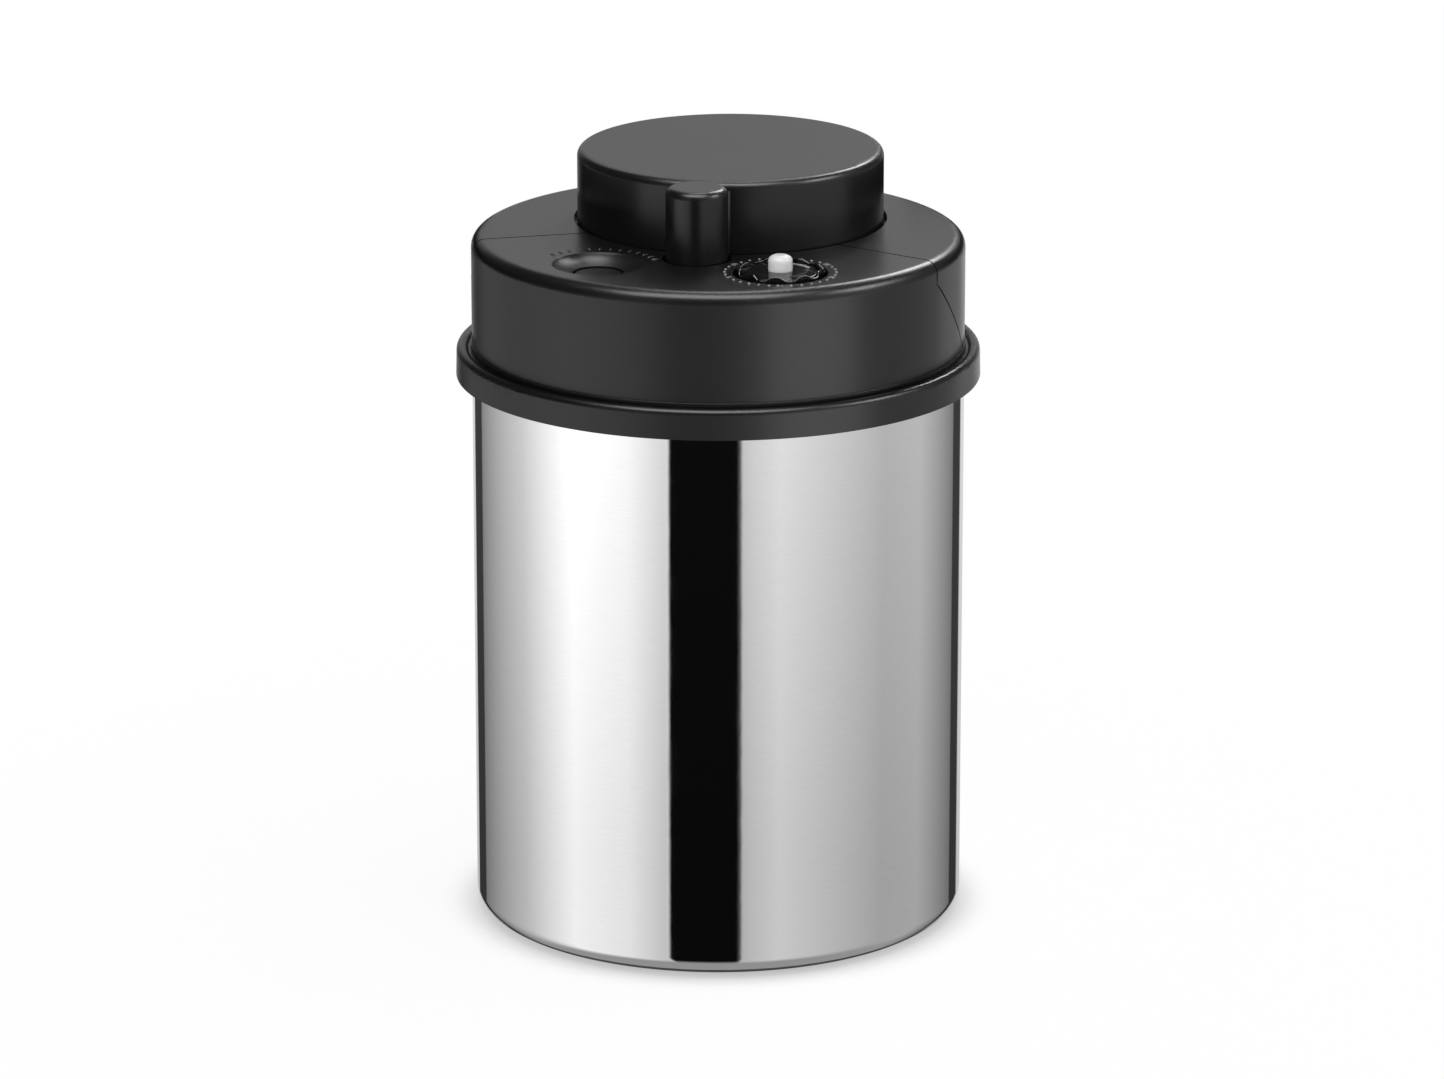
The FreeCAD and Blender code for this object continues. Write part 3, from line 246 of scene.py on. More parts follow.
def hang_soft_box(name, direction, rise_angle, distance, width, height, brightness):
    """Hangs a soft box in a compass direction, at an angle above the table, facing the lid."""
    data = bpy.data.lights.new(name, "AREA")
    data.shape = "RECTANGLE"
    data.size = width
    data.size_y = height
    data.energy = math.pi * width * height * brightness
    box = bpy.data.objects.new(name, data)
    scene.collection.objects.link(box)
    turn, lift = math.radians(direction), math.radians(rise_angle)
    away = Vector((math.sin(turn) * math.cos(lift), -math.cos(turn) * math.cos(lift), math.sin(lift)))
    box.location = LIT_POINT + away * distance
    box.rotation_euler = (-away).to_track_quat("-Z", "Y").to_euler()
    box.visible_camera = False
    box.visible_diffuse = name in MATT_CARDS
    box.visible_glossy = name not in MATT_CARDS
    if name in CARD_PIECES:
        box.light_linking.receiver_collection = CARD_PIECES[name]
    print(name, "at", [round(number, 2) for number in box.location], "power in W:", round(data.energy, 1))


for name, settings in SOFT_BOXES.items():
    hang_soft_box(name, *settings)

# %% [markdown]
# The sides of the push knob look almost black in a good picture, because a photographer stands narrow
# black flags beside the lid, just above its edge. Here they are two strips bent round the canister's
# axis, one at each side. The rounded foot of the can mirrors its own shade on the table, so a small disc
# of painted shade, glowing dimly, lies there as well. Only glossy rays see these sheets: they darken
# reflections and cast no shadow.

# %% Stand the black flags
FLAG_REACH, FLAG_FOOT, FLAG_HEAD = 0.076, 0.1565, 0.168
FLAG_STEPS = 16
FLAG_SPANS = {"left_flag": (-122, -55), "right_flag": (98, 155)}
FLAG_BLACK = (0.002, 0.002, 0.002, 1)


def lay_dark_sheet(name, points, faces, finish):
    """Adds a sheet to the studio that only reflections see."""
    mesh = bpy.data.meshes.new(name)
    mesh.from_pydata(points, [], faces)
    mesh.materials.append(finish)
    dark_sheet = bpy.data.objects.new(name, mesh)
    scene.collection.objects.link(dark_sheet)
    dark_sheet.visible_camera = False
    dark_sheet.visible_diffuse = False
    dark_sheet.visible_shadow = False


flag_finish = bpy.data.materials.new("black_flag")
flag_finish.use_nodes = True
flag_surface = flag_finish.node_tree.nodes["Principled BSDF"]
flag_surface.inputs["Base Color"].default_value = FLAG_BLACK
flag_surface.inputs["Specular IOR Level"].default_value = 0.0
row = FLAG_STEPS + 1
strips = [(step, step + 1, row + step + 1, row + step) for step in range(FLAG_STEPS)]
for name, (first, last) in FLAG_SPANS.items():
    edge_points = []
    for height in (FLAG_FOOT, FLAG_HEAD):
        for step in range(row):
            turn = math.radians(first + (last - first) * step / FLAG_STEPS)
            edge_points.append((FLAG_REACH * math.sin(turn), -FLAG_REACH * math.cos(turn), height))
    lay_dark_sheet(name, edge_points, strips, flag_finish)
print("flags:", sorted(FLAG_SPANS))

# %% Lay the painted shade under the foot
FOOT_SHADE_RADIUS, FOOT_SHADE_DROP = 0.0555, 0.1 * MM
FOOT_SHADE_STEPS = 64
# The disc's dim glow is painted shade: the brightness of the shade under the foot.
PAINTED_SHADE_GLOW = 0.07
shade_finish = bpy.data.materials.new("foot_shade")
shade_finish.use_nodes = True
shade_finish.node_tree.nodes.clear()
shade_glow = add_node(shade_finish.node_tree, "ShaderNodeEmission", {"Color": WHITE, "Strength": PAINTED_SHADE_GLOW})
add_node(shade_finish.node_tree, "ShaderNodeOutputMaterial", {"Surface": shade_glow.outputs[0]})
shade_points = []
for step in range(FOOT_SHADE_STEPS):
    turn = math.tau * step / FOOT_SHADE_STEPS
    edge_point = (FOOT_SHADE_RADIUS * math.cos(turn), FOOT_SHADE_RADIUS * math.sin(turn))
    shade_points.append((*edge_point, -FOOT_SHADE_DROP))
lay_dark_sheet("foot_shade", shade_points, [list(range(FOOT_SHADE_STEPS))], shade_finish)
print("foot shade radius in mm:", round(FOOT_SHADE_RADIUS / MM, 1))

# %% [markdown]
# The table is a plain white sweep. For the camera it is a white glow with a painted contact shadow: an
# ambient occlusion node darkens the glow close to where the canister stands, like the soft contact shadow
# under a tent light. For the light that bounces up from it, it is a pale matt sheet. The steel looks past
# it to the room plan, which already holds the table's brightness.

# %% Lay the table
TABLE_HALF = 4.0
TABLE_DROP = 0.2 * MM
SHADOW_REACH, SHADOW_SAMPLES = 0.011, 16
DEEP_SHADE, OPEN_SHADE = 0.30, 0.97
SHADE_GLOW, TABLE_GLOW = 0.48, 0.80
TABLE_MATT, SHEET_MATT = 0.27, 0.8
table_mesh = bpy.data.meshes.new("table")
TABLE_SIDES = ((-1, -1), (1, -1), (1, 1), (-1, 1))
corners = [(across * TABLE_HALF, along * TABLE_HALF) for across, along in TABLE_SIDES]
table_mesh.from_pydata([(x, y, -TABLE_DROP) for x, y in corners], [], [(0, 1, 2, 3)])
table = bpy.data.objects.new("table", table_mesh)
scene.collection.objects.link(table)
table.visible_glossy = False
table_finish = bpy.data.materials.new("white_table")
table_finish.use_nodes = True
sheet = table_finish.node_tree
sheet.nodes.clear()
# Painted contact shadow: the glow is darkened where occlusion finds the canister close by.
contact = add_node(sheet, "ShaderNodeAmbientOcclusion", {"Distance": SHADOW_REACH}, samples=SHADOW_SAMPLES)
nearness = contact.outputs["AO"]
painted_shadow_glow = add_range(sheet, nearness, DEEP_SHADE, OPEN_SHADE, SHADE_GLOW, TABLE_GLOW)
glow = add_node(sheet, "ShaderNodeEmission", {"Color": WHITE, "Strength": painted_shadow_glow})
thin_matt = add_node(sheet, "ShaderNodeBsdfDiffuse", {"Color": (TABLE_MATT, TABLE_MATT, TABLE_MATT, 1)})
shown = add_node(sheet, "ShaderNodeAddShader", {0: glow.outputs[0], 1: thin_matt.outputs[0]})
matt = add_node(sheet, "ShaderNodeBsdfDiffuse", {"Color": (SHEET_MATT, SHEET_MATT, SHEET_MATT, 1)})
ray = add_node(sheet, "ShaderNodeLightPath").outputs
both_shares = {0: ray["Is Camera Ray"], 1: matt.outputs[0], 2: shown.outputs[0]}
both = add_node(sheet, "ShaderNodeMixShader", both_shares)
add_node(sheet, "ShaderNodeOutputMaterial", {"Surface": both.outputs[0]})
table_mesh.materials.append(table_finish)
print("table glow", TABLE_GLOW, "shadow reach in mm", SHADOW_REACH / MM)

# %% [markdown]
# Every finish starts the same way: a Principled surface whose colour, roughness and small bumps follow
# noise in the piece's own coordinates. A pattern is written as the noise's size in millimetres, its
# stretch where the real surface has a grain, its detail and its distortion, so that each finish below
# only says what is special about it.

# %% Helpers for finishes
NOISE_LOW, NOISE_HIGH = 0.3, 0.7
EVEN = (1, 1, 1)
# A Mix node's sockets for colours share their names with others, so they are found by their number
MIX_FIRST, MIX_SECOND, MIX_RESULT = 6, 7, 2


def new_finish(name, values):
    """A Principled material with plain values on its sockets."""
    material = bpy.data.materials.new(name)
    material.use_nodes = True
    surface = material.node_tree.nodes["Principled BSDF"]
    for socket, value in values.items():
        surface.inputs[socket].default_value = value
    return material, material.node_tree, surface


def grain(tree, size_mm, stretch, detail, distortion):
    """Noise of about the given size, between 0 and 1."""
    place = add_node(tree, "ShaderNodeTexCoord").outputs["Object"]
    shaped = add_node(tree, "ShaderNodeMapping", {"Vector": place, "Scale": stretch}).outputs[0]
    inputs = {"Vector": shaped, "Scale": 1 / (size_mm * MM), "Detail": detail, "Distortion": distortion}
    return add_node(tree, "ShaderNodeTexNoise", inputs).outputs["Fac"]


def vary(tree, surface, socket, noise, low, high):
    """Lets a number on the surface vary between two values."""
    tree.links.new(add_range(tree, noise, NOISE_LOW, NOISE_HIGH, low, high), surface.inputs[socket])


def vary_colour(tree, surface, noise, low, high):
    """Lets the colour vary between two colours."""
    share = add_range(tree, noise, NOISE_LOW, NOISE_HIGH)
    mix = add_node(tree, "ShaderNodeMix", {"Factor": share}, data_type="RGBA")
    mix.inputs[MIX_FIRST].default_value = (*low, 1)
    mix.inputs[MIX_SECOND].default_value = (*high, 1)
    tree.links.new(mix.outputs[MIX_RESULT], surface.inputs["Base Color"])


def add_bump(tree, surface, noise, depth_mm, under=None):
    """Raises the surface by a noise, on top of an earlier bump."""
    bump = add_node(tree, "ShaderNodeBump", {"Height": noise, "Distance": depth_mm * MM, "Strength": 1.0})
    if under is not None:
        tree.links.new(under, bump.inputs["Normal"])
    tree.links.new(bump.outputs[0], surface.inputs["Normal"])
    return bump.outputs[0]


# %% [markdown]
# The can is deep drawn from thin stainless sheet and polished while it spins. That leaves three marks:
# very fine lines round the can, a faint unevenness a few millimetres across that makes reflections waver,
# and patches that are a little duller than others.

# %% Polished steel
STEEL_LINES, STEEL_LINE_DEPTH = (3.0, (1, 1, 40), 4.0, 0.0), 0.0006
STEEL_PATCHES, STEEL_SHEEN = (14.0, EVEN, 2.0, 0.0), (0.025, 0.05)
STEEL_WAVER, STEEL_WAVER_DEPTH = (5.0, (1, 1, 0.8), 2.0, 0.0), 0.006
STEEL_COLOURS = ((0.78, 0.78, 0.785), (0.82, 0.82, 0.82))
steel, tree, surface = new_finish("polished_steel", {"Metallic": 1.0, "Roughness": 0.1})
lines = grain(tree, *STEEL_LINES)
vary_colour(tree, surface, lines, *STEEL_COLOURS)
vary(tree, surface, "Roughness", grain(tree, *STEEL_PATCHES), *STEEL_SHEEN)
waver = add_bump(tree, surface, grain(tree, *STEEL_WAVER), STEEL_WAVER_DEPTH)
add_bump(tree, surface, lines, STEEL_LINE_DEPTH, under=waver)
finishes = {"satin_steel": steel}
print("steel's roughness:", STEEL_SHEEN)

# %% [markdown]
# Most other finishes need only one layer of bumps, so one helper makes them: it takes a pattern for the
# colour, one for the roughness and one for the bumps, each with what it varies. Two of the three are
# often the same pattern, and then they share one noise, as a dull spot in a mould is both paler and
# rougher.

# %% A helper for moulded and pressed finishes
def textured_finish(name, values, tint, sheen, relief):
    """A finish with two colours, two roughnesses and a depth in millimetres, each after its pattern."""
    material, tree, surface = new_finish(name, values)
    patterns = dict.fromkeys((tint[0], sheen[0], relief[0]))
    noise_of = {pattern: grain(tree, *pattern) for pattern in patterns}
    vary_colour(tree, surface, noise_of[tint[0]], *tint[1])
    vary(tree, surface, "Roughness", noise_of[sheen[0]], *sheen[1])
    add_bump(tree, surface, noise_of[relief[0]], relief[1])
    return material


# %% [markdown]
# The lid is moulded in black plastic with a fine satin texture, like very fine leather seen from afar.
# Its grain is about a third of a millimetre, and the mould's polish varies slightly from place to place.
# The dial's wheel comes from a polished mould, so it is glossy, with faint lines where the plastic
# flowed.

# %% Satin and gloss black plastic
SATIN_GRAIN, SATIN_CLOUDS = (0.32, EVEN, 2.0, 0.0), (9.0, EVEN, 3.0, 0.0)
SATIN_COLOURS = ((0.0040, 0.0040, 0.0041), (0.0052, 0.0052, 0.0053))
SATIN_SHEEN, SATIN_DEPTH = (0.28, 0.34), 0.010
finishes["satin_black_plastic"] = textured_finish(
    "satin_black_plastic", {"Roughness": 0.4},
    (SATIN_CLOUDS, SATIN_COLOURS), (SATIN_GRAIN, SATIN_SHEEN), (SATIN_GRAIN, SATIN_DEPTH))
GLOSS_FLOW = (2.5, EVEN, 3.0, 0.6)
GLOSS_COLOURS = ((0.006, 0.006, 0.0065), (0.010, 0.010, 0.0105))
GLOSS_SHEEN, GLOSS_DEPTH = (0.10, 0.20), 0.012
finishes["gloss_black_plastic"] = textured_finish(
    "gloss_black_plastic", {"Roughness": 0.16, "Coat Weight": 0.25},
    (GLOSS_FLOW, GLOSS_COLOURS), (GLOSS_FLOW, GLOSS_SHEEN), (GLOSS_FLOW, GLOSS_DEPTH))
print("satin roughness:", SATIN_SHEEN, "gloss roughness:", GLOSS_SHEEN)

# %% [markdown]
# The pin is milky plastic: light goes in a little way and comes out again, which softens its shading. The
# seals and the diaphragm are grey silicone, which does the same to a lesser degree and has a dusty bloom.

# %% Milky plastic and silicone
MILKY_CLOUDS, MILKY_REACH = (1.6, EVEN, 3.0, 0.0), 1.5 * MM
MILKY_COLOURS = ((0.80, 0.80, 0.80), (0.86, 0.86, 0.86))
MILKY_SHEEN, MILKY_DEPTH = (0.32, 0.42), 0.006
finishes["white_plastic"] = textured_finish("milky_plastic", {
    "Roughness": 0.35, "Subsurface Weight": 0.8, "Subsurface Scale": MILKY_REACH, "Subsurface Radius": EVEN,
    "Sheen Weight": 0.2, "Sheen Roughness": 0.3,
}, (MILKY_CLOUDS, MILKY_COLOURS), (MILKY_CLOUDS, MILKY_SHEEN), (MILKY_CLOUDS, MILKY_DEPTH))
SILICONE_BLOOM, SILICONE_REACH = (3.0, EVEN, 4.0, 0.0), 0.8 * MM
SILICONE_COLOURS = ((0.56, 0.57, 0.57), (0.66, 0.67, 0.67))
SILICONE_SHEEN = (0.50, 0.70)
SILICONE_SKIN, SILICONE_DEPTH = (0.4, EVEN, 3.0, 0.0), 0.01
finishes["silicone"] = textured_finish("grey_silicone", {
    "Roughness": 0.6, "Subsurface Weight": 0.2, "Subsurface Scale": SILICONE_REACH, "Subsurface Radius": EVEN,
}, (SILICONE_BLOOM, SILICONE_COLOURS), (SILICONE_BLOOM, SILICONE_SHEEN), (SILICONE_SKIN, SILICONE_DEPTH))
print("light goes in by mm:", round(MILKY_REACH / MM, 1), "and", round(SILICONE_REACH / MM, 1))

# %% [markdown]
# The pump's inner parts are plain dark grey plastic, the felt of the filter is pressed fibre, and the
# screws and springs are plated steel bar and wire. Felt is equally dull all over, so its roughness stays
# one number, set on the surface itself.

# %% Inner plastic, plated steel and felt
INNER_FLOW, INNER_SKIN = (6.0, EVEN, 3.0, 0.4), (0.3, EVEN, 3.0, 0.0)
INNER_COLOURS = ((0.17, 0.17, 0.18), (0.22, 0.22, 0.23))
INNER_SHEEN, INNER_DEPTH = (0.42, 0.55), 0.008
finishes["inner_plastic"] = textured_finish(
    "inner_grey_plastic", {"Roughness": 0.5},
    (INNER_FLOW, INNER_COLOURS), (INNER_FLOW, INNER_SHEEN), (INNER_SKIN, INNER_DEPTH))
PLATED_LINES = (0.5, (1, 1, 6), 3.0, 0.0)
PLATED_COLOURS = ((0.58, 0.58, 0.60), (0.68, 0.68, 0.69))
PLATED_SHEEN, PLATED_DEPTH = (0.16, 0.30), 0.003
finishes["plated_steel"] = textured_finish(
    "plated_steel", {"Metallic": 1.0, "Roughness": 0.22},
    (PLATED_LINES, PLATED_COLOURS), (PLATED_LINES, PLATED_SHEEN), (PLATED_LINES, PLATED_DEPTH))
FELT_FIBRES, FELT_DEPTH = (0.7, (1, 3, 1), 6.0, 2.0), 0.15
FELT_COLOURS = ((0.66, 0.64, 0.58), (0.84, 0.82, 0.76))
felt, tree, surface = new_finish("pressed_felt", {"Roughness": 0.95, "Sheen Weight": 0.4})
fibres = grain(tree, *FELT_FIBRES)
vary_colour(tree, surface, fibres, *FELT_COLOURS)
add_bump(tree, surface, fibres, FELT_DEPTH)
finishes["felt"] = felt
print("finishes:", sorted(finishes))

# %% [markdown]
# The marks on the lid are raised. Their grey is painted highlight: on the real lid they are moulded in the
# same black plastic and look paler only where they catch the light. Those round the dial and the wheel's
# ticks are a light painted grey with a little random speckle. Those behind the dish and the wheel's arrow
# are darker, hardly paler than the plastic.

# %% Grey marks with painted highlight
MARK_SPECKLE, MARK_DEPTH = (0.5, EVEN, 3.0, 0.0), 0.01
DAY_HIGHLIGHT_COLOURS, DAY_SHEEN = ((0.28, 0.28, 0.28), (0.38, 0.38, 0.38)), (0.22, 0.40)
TICK_HIGHLIGHT_COLOURS, TICK_SHEEN = ((0.06, 0.06, 0.06), (0.10, 0.10, 0.10)), (0.20, 0.34)
day_painted_highlight = textured_finish(
    "day_mark_painted_highlight", {"Roughness": 0.3},
    (MARK_SPECKLE, DAY_HIGHLIGHT_COLOURS), (MARK_SPECKLE, DAY_SHEEN), (MARK_SPECKLE, MARK_DEPTH))
tick_painted_highlight = textured_finish(
    "tick_mark_painted_highlight", {"Roughness": 0.25},
    (MARK_SPECKLE, TICK_HIGHLIGHT_COLOURS), (MARK_SPECKLE, TICK_SHEEN), (MARK_SPECKLE, MARK_DEPTH))
print("mark finishes:", day_painted_highlight.name, "and", tick_painted_highlight.name)

# %% [markdown]
# A turned piece is an outline of radii and heights swept once round an axis. The sharp corners of a plain
# outline would look cut from card, so each corner is first replaced by a short arc. Faces that are large
# and flat should keep their own direction in the shading, which the Weighted Normal modifier sees to.

# %% Round the corners of an outline
POLE = 1e-9
CREASE = math.radians(38)
ARC_STEPS = 6


def rounded_outline(corners, steps=ARC_STEPS):
    """Replaces each corner (radius, height, round) by a short arc."""
    points = []
    for index, (radius, height, fillet) in enumerate(corners):
        here = Vector((radius, height))
        if fillet == 0:
            points.append(here)
            continue
        back = (Vector(corners[index - 1][:2]) - here).normalized()
        onward = (Vector(corners[(index + 1) % len(corners)][:2]) - here).normalized()
        half = back.angle(onward) / 2
        middle = here + (back + onward).normalized() * (fillet / math.sin(half))
        start = here + back * (fillet / math.tan(half)) - middle
        sweep = math.pi - 2 * half
        if back.x * onward.y - back.y * onward.x > 0:
            sweep = -sweep
        for step in range(steps + 1):
            angle = sweep * step / steps
            turned_x = start.x * math.cos(angle) - start.y * math.sin(angle)
            turned_y = start.x * math.sin(angle) + start.y * math.cos(angle)
            points.append(middle + Vector((turned_x, turned_y)))
    return points


# %% Sweep an outline round its axis
def turned_mesh(name, outline, axis, segments):
    """Sweeps a closed outline in millimetres, drawn anticlockwise, round a vertical axis in metres."""
    form = bmesh.new()
    rings = []
    for radius, height in outline:
        if radius < POLE:
            rings.append([form.verts.new((axis[0], axis[1], height * MM))])
            continue
        ring = []
        for step in range(segments):
            angle = math.tau * step / segments
            place = (radius * MM * math.cos(angle), radius * MM * math.sin(angle))
            ring.append(form.verts.new((axis[0] + place[0], axis[1] + place[1], height * MM)))
        rings.append(ring)
    for low, high in zip(rings, rings[1:] + rings[:1]):
        if len(low) == 1 and len(high) == 1:
            continue
        for step in range(segments):
            after = (step + 1) % segments
            lower = [low[step % len(low)], low[after % len(low)]]
            upper = [high[after % len(high)], high[step % len(high)]]
            form.faces.new(list(dict.fromkeys(lower + upper)))
    return mesh_from(form, name)


def mesh_from(form, name):
    """Finishes a bmesh: smooth faces, and creases where it bends sharply."""
    for face in form.faces:
        face.smooth = True
    for edge in form.edges:
        edge.smooth = len(edge.link_faces) == 2 and edge.calc_face_angle(0) < CREASE
    mesh = bpy.data.meshes.new(name)
    form.to_mesh(mesh)
    form.free()
    return mesh


# %% Put a piece in the scene
# The bodies whose pieces see the linked cards
BODY_PIECES = {"lid": lid_pieces, "release_valve": pin_pieces}
FLAT_WEIGHT = 90


def place_piece(name, mesh, body, slot, replaced=(), finish=None):
    """Puts a mesh in the scene as a piece that rides on a body."""
    piece = bpy.data.objects.new(name, mesh)
    scene.collection.objects.link(piece)
    if not mesh.materials:
        mesh.materials.append(finish or finishes[slot])
    if body in BODY_PIECES:
        BODY_PIECES[body].objects.link(piece)
    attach(piece, body)
    if replaced:
        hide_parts(*replaced)
    return piece


def keep_flats_flat(piece):
    """Weights the shading by face size, so that large faces keep their own direction."""
    shading = piece.modifiers.new("flat_faces", "WEIGHTED_NORMAL")
    shading.keep_sharp = True
    shading.weight = FLAT_WEIGHT


# %% [markdown]
# The can itself. Its outline runs from the middle of the base, which is pressed up a little so that only
# a ring stands on the table, round the base edge, up the wall, over the rolled rim and down the inside.

# %% The steel can
CAN_SEGMENTS, CAN_ARC_STEPS, CURL_STEPS = 256, 10, 14
CAN_RADIUS, CAN_WALL, CURL = 57.0, 0.7, 0.9
PANEL_RADIUS, STAND_RADIUS, PANEL_LIFT = 46.0, 47.5, 1.2
PANEL_ROUND, STAND_ROUND, BASE_ROUND, INNER_ROUND = 1.5, 1.2, 4.5, 1.0
can_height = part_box("steel_can")[1].z / MM
can_inner = CAN_RADIUS - CAN_WALL
curl_middle = Vector((can_inner + CURL, can_height - CURL))
curl_foot = curl_middle.y - math.sqrt(CURL ** 2 - (curl_middle.x - CAN_RADIUS) ** 2)
can_corners = [
    (0, PANEL_LIFT, 0), (PANEL_RADIUS, PANEL_LIFT, PANEL_ROUND), (STAND_RADIUS, 0, STAND_ROUND),
    (CAN_RADIUS, 0, BASE_ROUND), (CAN_RADIUS, curl_foot, 0),
]
first_angle = math.atan2(curl_foot - curl_middle.y, CAN_RADIUS - curl_middle.x)
for step in range(1, CURL_STEPS + 1):
    angle = first_angle + (math.pi - first_angle) * step / CURL_STEPS
    can_corners.append((curl_middle.x + CURL * math.cos(angle), curl_middle.y + CURL * math.sin(angle), 0))
can_corners += [
    (can_inner, CAN_WALL, BASE_ROUND - CAN_WALL), (STAND_RADIUS, CAN_WALL, INNER_ROUND),
    (PANEL_RADIUS, PANEL_LIFT + CAN_WALL, INNER_ROUND), (0, PANEL_LIFT + CAN_WALL, 0),
]
can_outline = rounded_outline(can_corners, CAN_ARC_STEPS)
can_mesh = turned_mesh("steel_can_skin", can_outline, (0, 0), CAN_SEGMENTS)
can = place_piece("steel_can_skin", can_mesh, "canister", "satin_steel", ["steel_can"])
keep_flats_flat(can)
print("can faces:", len(can_mesh.polygons))

# %% [markdown]
# The moulded pieces of the lid keep their CAD shape, but a CAD mesh is loose triangles with hard edges.
# Each is copied, its triangles are merged, flat areas are joined into single faces, and the remaining
# sharp edges get a narrow round, as every moulded edge has. A Bevel modifier limited by angle does that.

# %% A softened copy of a moulded piece
MERGE = 1e-6
FLAT = math.radians(0.4)
BEVEL_FROM = math.radians(40)
BEVEL_SEGMENTS = 2


def join_flats(form):
    """Joins the triangles of each flat area into one face."""
    bmesh.ops.dissolve_limit(form, angle_limit=FLAT, verts=form.verts, edges=form.edges)


def softened_copy(node, edge_round_mm, reshape):
    """Replaces a CAD node by a smooth, reshaped copy whose sharp edges are rounded."""
    form = bmesh.new()
    form.from_mesh(frame["nodes"][node].data)
    bmesh.ops.remove_doubles(form, verts=form.verts, dist=MERGE)
    reshape(form)
    name = node + "_skin"
    piece = place_piece(name, mesh_from(form, name), body_of[node], slot_of[node], [node])
    rounding = piece.modifiers.new("edge_round", "BEVEL")
    rounding.width = edge_round_mm * MM
    rounding.segments = BEVEL_SEGMENTS
    rounding.limit_method = "ANGLE"
    rounding.angle_limit = BEVEL_FROM
    keep_flats_flat(piece)


# %% [markdown]
# The dish is a plain cone in the CAD model. On the real lid it is a shallow bowl, so a highlight in it
# has soft ends. The cone is cut into rings, and the rings are pushed outwards, the middle ones most. Its
# two edges stay in place.

# %% The bowl of the dish
DISH_SWELL, DISH_CUTS = 0.7 * MM, 7
DISH_RADIUS, DISH_SLACK = 10.6 * MM, 0.01 * MM
CONE_STEEP, CONE_FLAT = 0.5, 0.99
disc_low, disc_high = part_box("indicator_disc")
dish_axis = (disc_low + disc_high) / 2


def curve_dish(form):
    """Cuts the cone of the dish into rings and swells them, so that the cone becomes a bowl."""
    cone = []
    for face in form.faces:
        reach = max((vertex.co.xy - dish_axis.xy).length for vertex in face.verts)
        if reach < DISH_RADIUS + DISH_SLACK and CONE_STEEP < face.normal.z < CONE_FLAT:
            cone.append(face)
    heights = [vertex.co.z for face in cone for vertex in face.verts]
    foot, rim = min(heights), max(heights)
    rings = list(dict.fromkeys(part for face in cone for part in (face, *face.edges, *face.verts)))
    for cut in range(1, DISH_CUTS + 1):
        level = (0, 0, foot + (rim - foot) * cut / (DISH_CUTS + 1))
        rings = bmesh.ops.bisect_plane(form, geom=rings, plane_co=level, plane_no=(0, 0, 1))["geom"]
    points = [part for part in rings if isinstance(part, bmesh.types.BMVert)]
    for point in points:
        share = (point.co.z - foot) / (rim - foot)
        swell_share = 1 - (2 * share - 1) ** 2
        outward = (point.co.xy - dish_axis.xy).normalized()
        point.co.xy += outward * DISH_SWELL * swell_share
    print("faces of the cone:", len(cone), "points of the bowl:", len(points))


# %% [markdown]
# Where two mouldings meet there is a narrow gap, which the eye reads as a thin dark line. The gaps of the
# CAD model are so fine that the line would almost vanish, so the two halves of the cover are drawn back a
# little wherever they face each other or the knob. A search tree of the neighbour's faces tells which
# faces lie just across a gap.

# %% The gaps at the seam and round the knob
GAP_REACH_SHARE, OPPOSITE = 1.4, 0.95
SEAM_GAP, SEAM_STEP = 0.25, 0.12
KEYHOLE_GAP, KEYHOLE_STEP = 0.6, 0.2


def draw_back(form, neighbour, gap_mm, step_mm):
    """Draws back the faces that look at a neighbour across a narrow gap."""
    facing = frame["nodes"][neighbour].data
    corners = [vertex.co for vertex in facing.vertices]
    walls = BVHTree.FromPolygons(corners, [list(face.vertices) for face in facing.polygons])
    reach = gap_mm * MM * GAP_REACH_SHARE
    moves = {}
    for face in form.faces:
        direction, wall = walls.find_nearest(face.calc_center_median(), reach)[1:3]
        if wall is not None and face.normal.dot(direction) < -OPPOSITE:
            for vertex in face.verts:
                moves[vertex] = moves.get(vertex, Vector()) - face.normal
    for vertex, move in moves.items():
        vertex.co += move.normalized() * step_mm * MM
    print("points drawn back from", neighbour, len(moves))


def shape_front_cover(form):
    """Opens the gaps of the cover's front half and makes its dish a bowl."""
    draw_back(form, "rear_cover", SEAM_GAP, SEAM_STEP)
    draw_back(form, "knob_cap", KEYHOLE_GAP, KEYHOLE_STEP)
    join_flats(form)
    curve_dish(form)


def shape_rear_cover(form):
    """Opens the gaps of the cover's rear half."""
    draw_back(form, "front_cover", SEAM_GAP, SEAM_STEP)
    draw_back(form, "knob_cap", KEYHOLE_GAP, KEYHOLE_STEP)
    join_flats(form)


# %% [markdown]
# With these helpers, one table is enough for all the moulded pieces: the width of the round on each one's
# edges. The two cover halves have their own way of being reshaped, and all the others only have their
# flat areas joined.

# %% Copy the moulded pieces
RESHAPES = {"front_cover": shape_front_cover, "rear_cover": shape_rear_cover}
# Width of the round in millimetres
EDGE_ROUNDS = {
    "lid_base": 0.2, "front_cover": 0.12, "rear_cover": 0.12, "knob_cap": 0.35, "indicator_disc": 0.15,
    "main_gasket": 0.3, "filter_cap": 0.2, "pump_barrel": 0.2, "barrel_oring": 0.4, "inlet_valve": 0.1,
    "inlet_filter": 0.3, "knob_stop_ring": 0.2, "piston_rod": 0.2, "piston": 0.2, "piston_seal": 0.3,
    "outlet_valve": 0.1, "dial_clip": 0.15, "release_plug": 0.2, "diaphragm_ring": 0.2, "piston_screw": 0.2,
}
for node, edge_round in EDGE_ROUNDS.items():
    softened_copy(node, edge_round, RESHAPES.get(node, join_flats))
print("softened copies:", len(EDGE_ROUNDS))

# %% [markdown]
# Where the round post grows out of the knob's side, the mould leaves a small hollow round in each corner,
# which shows as a thin bright upright line. The hollow touches the knob's circle and the post's circle,
# so its middle lies where the two circles would cross if both were larger by its radius. A prism fills
# the corner up to that hollow.

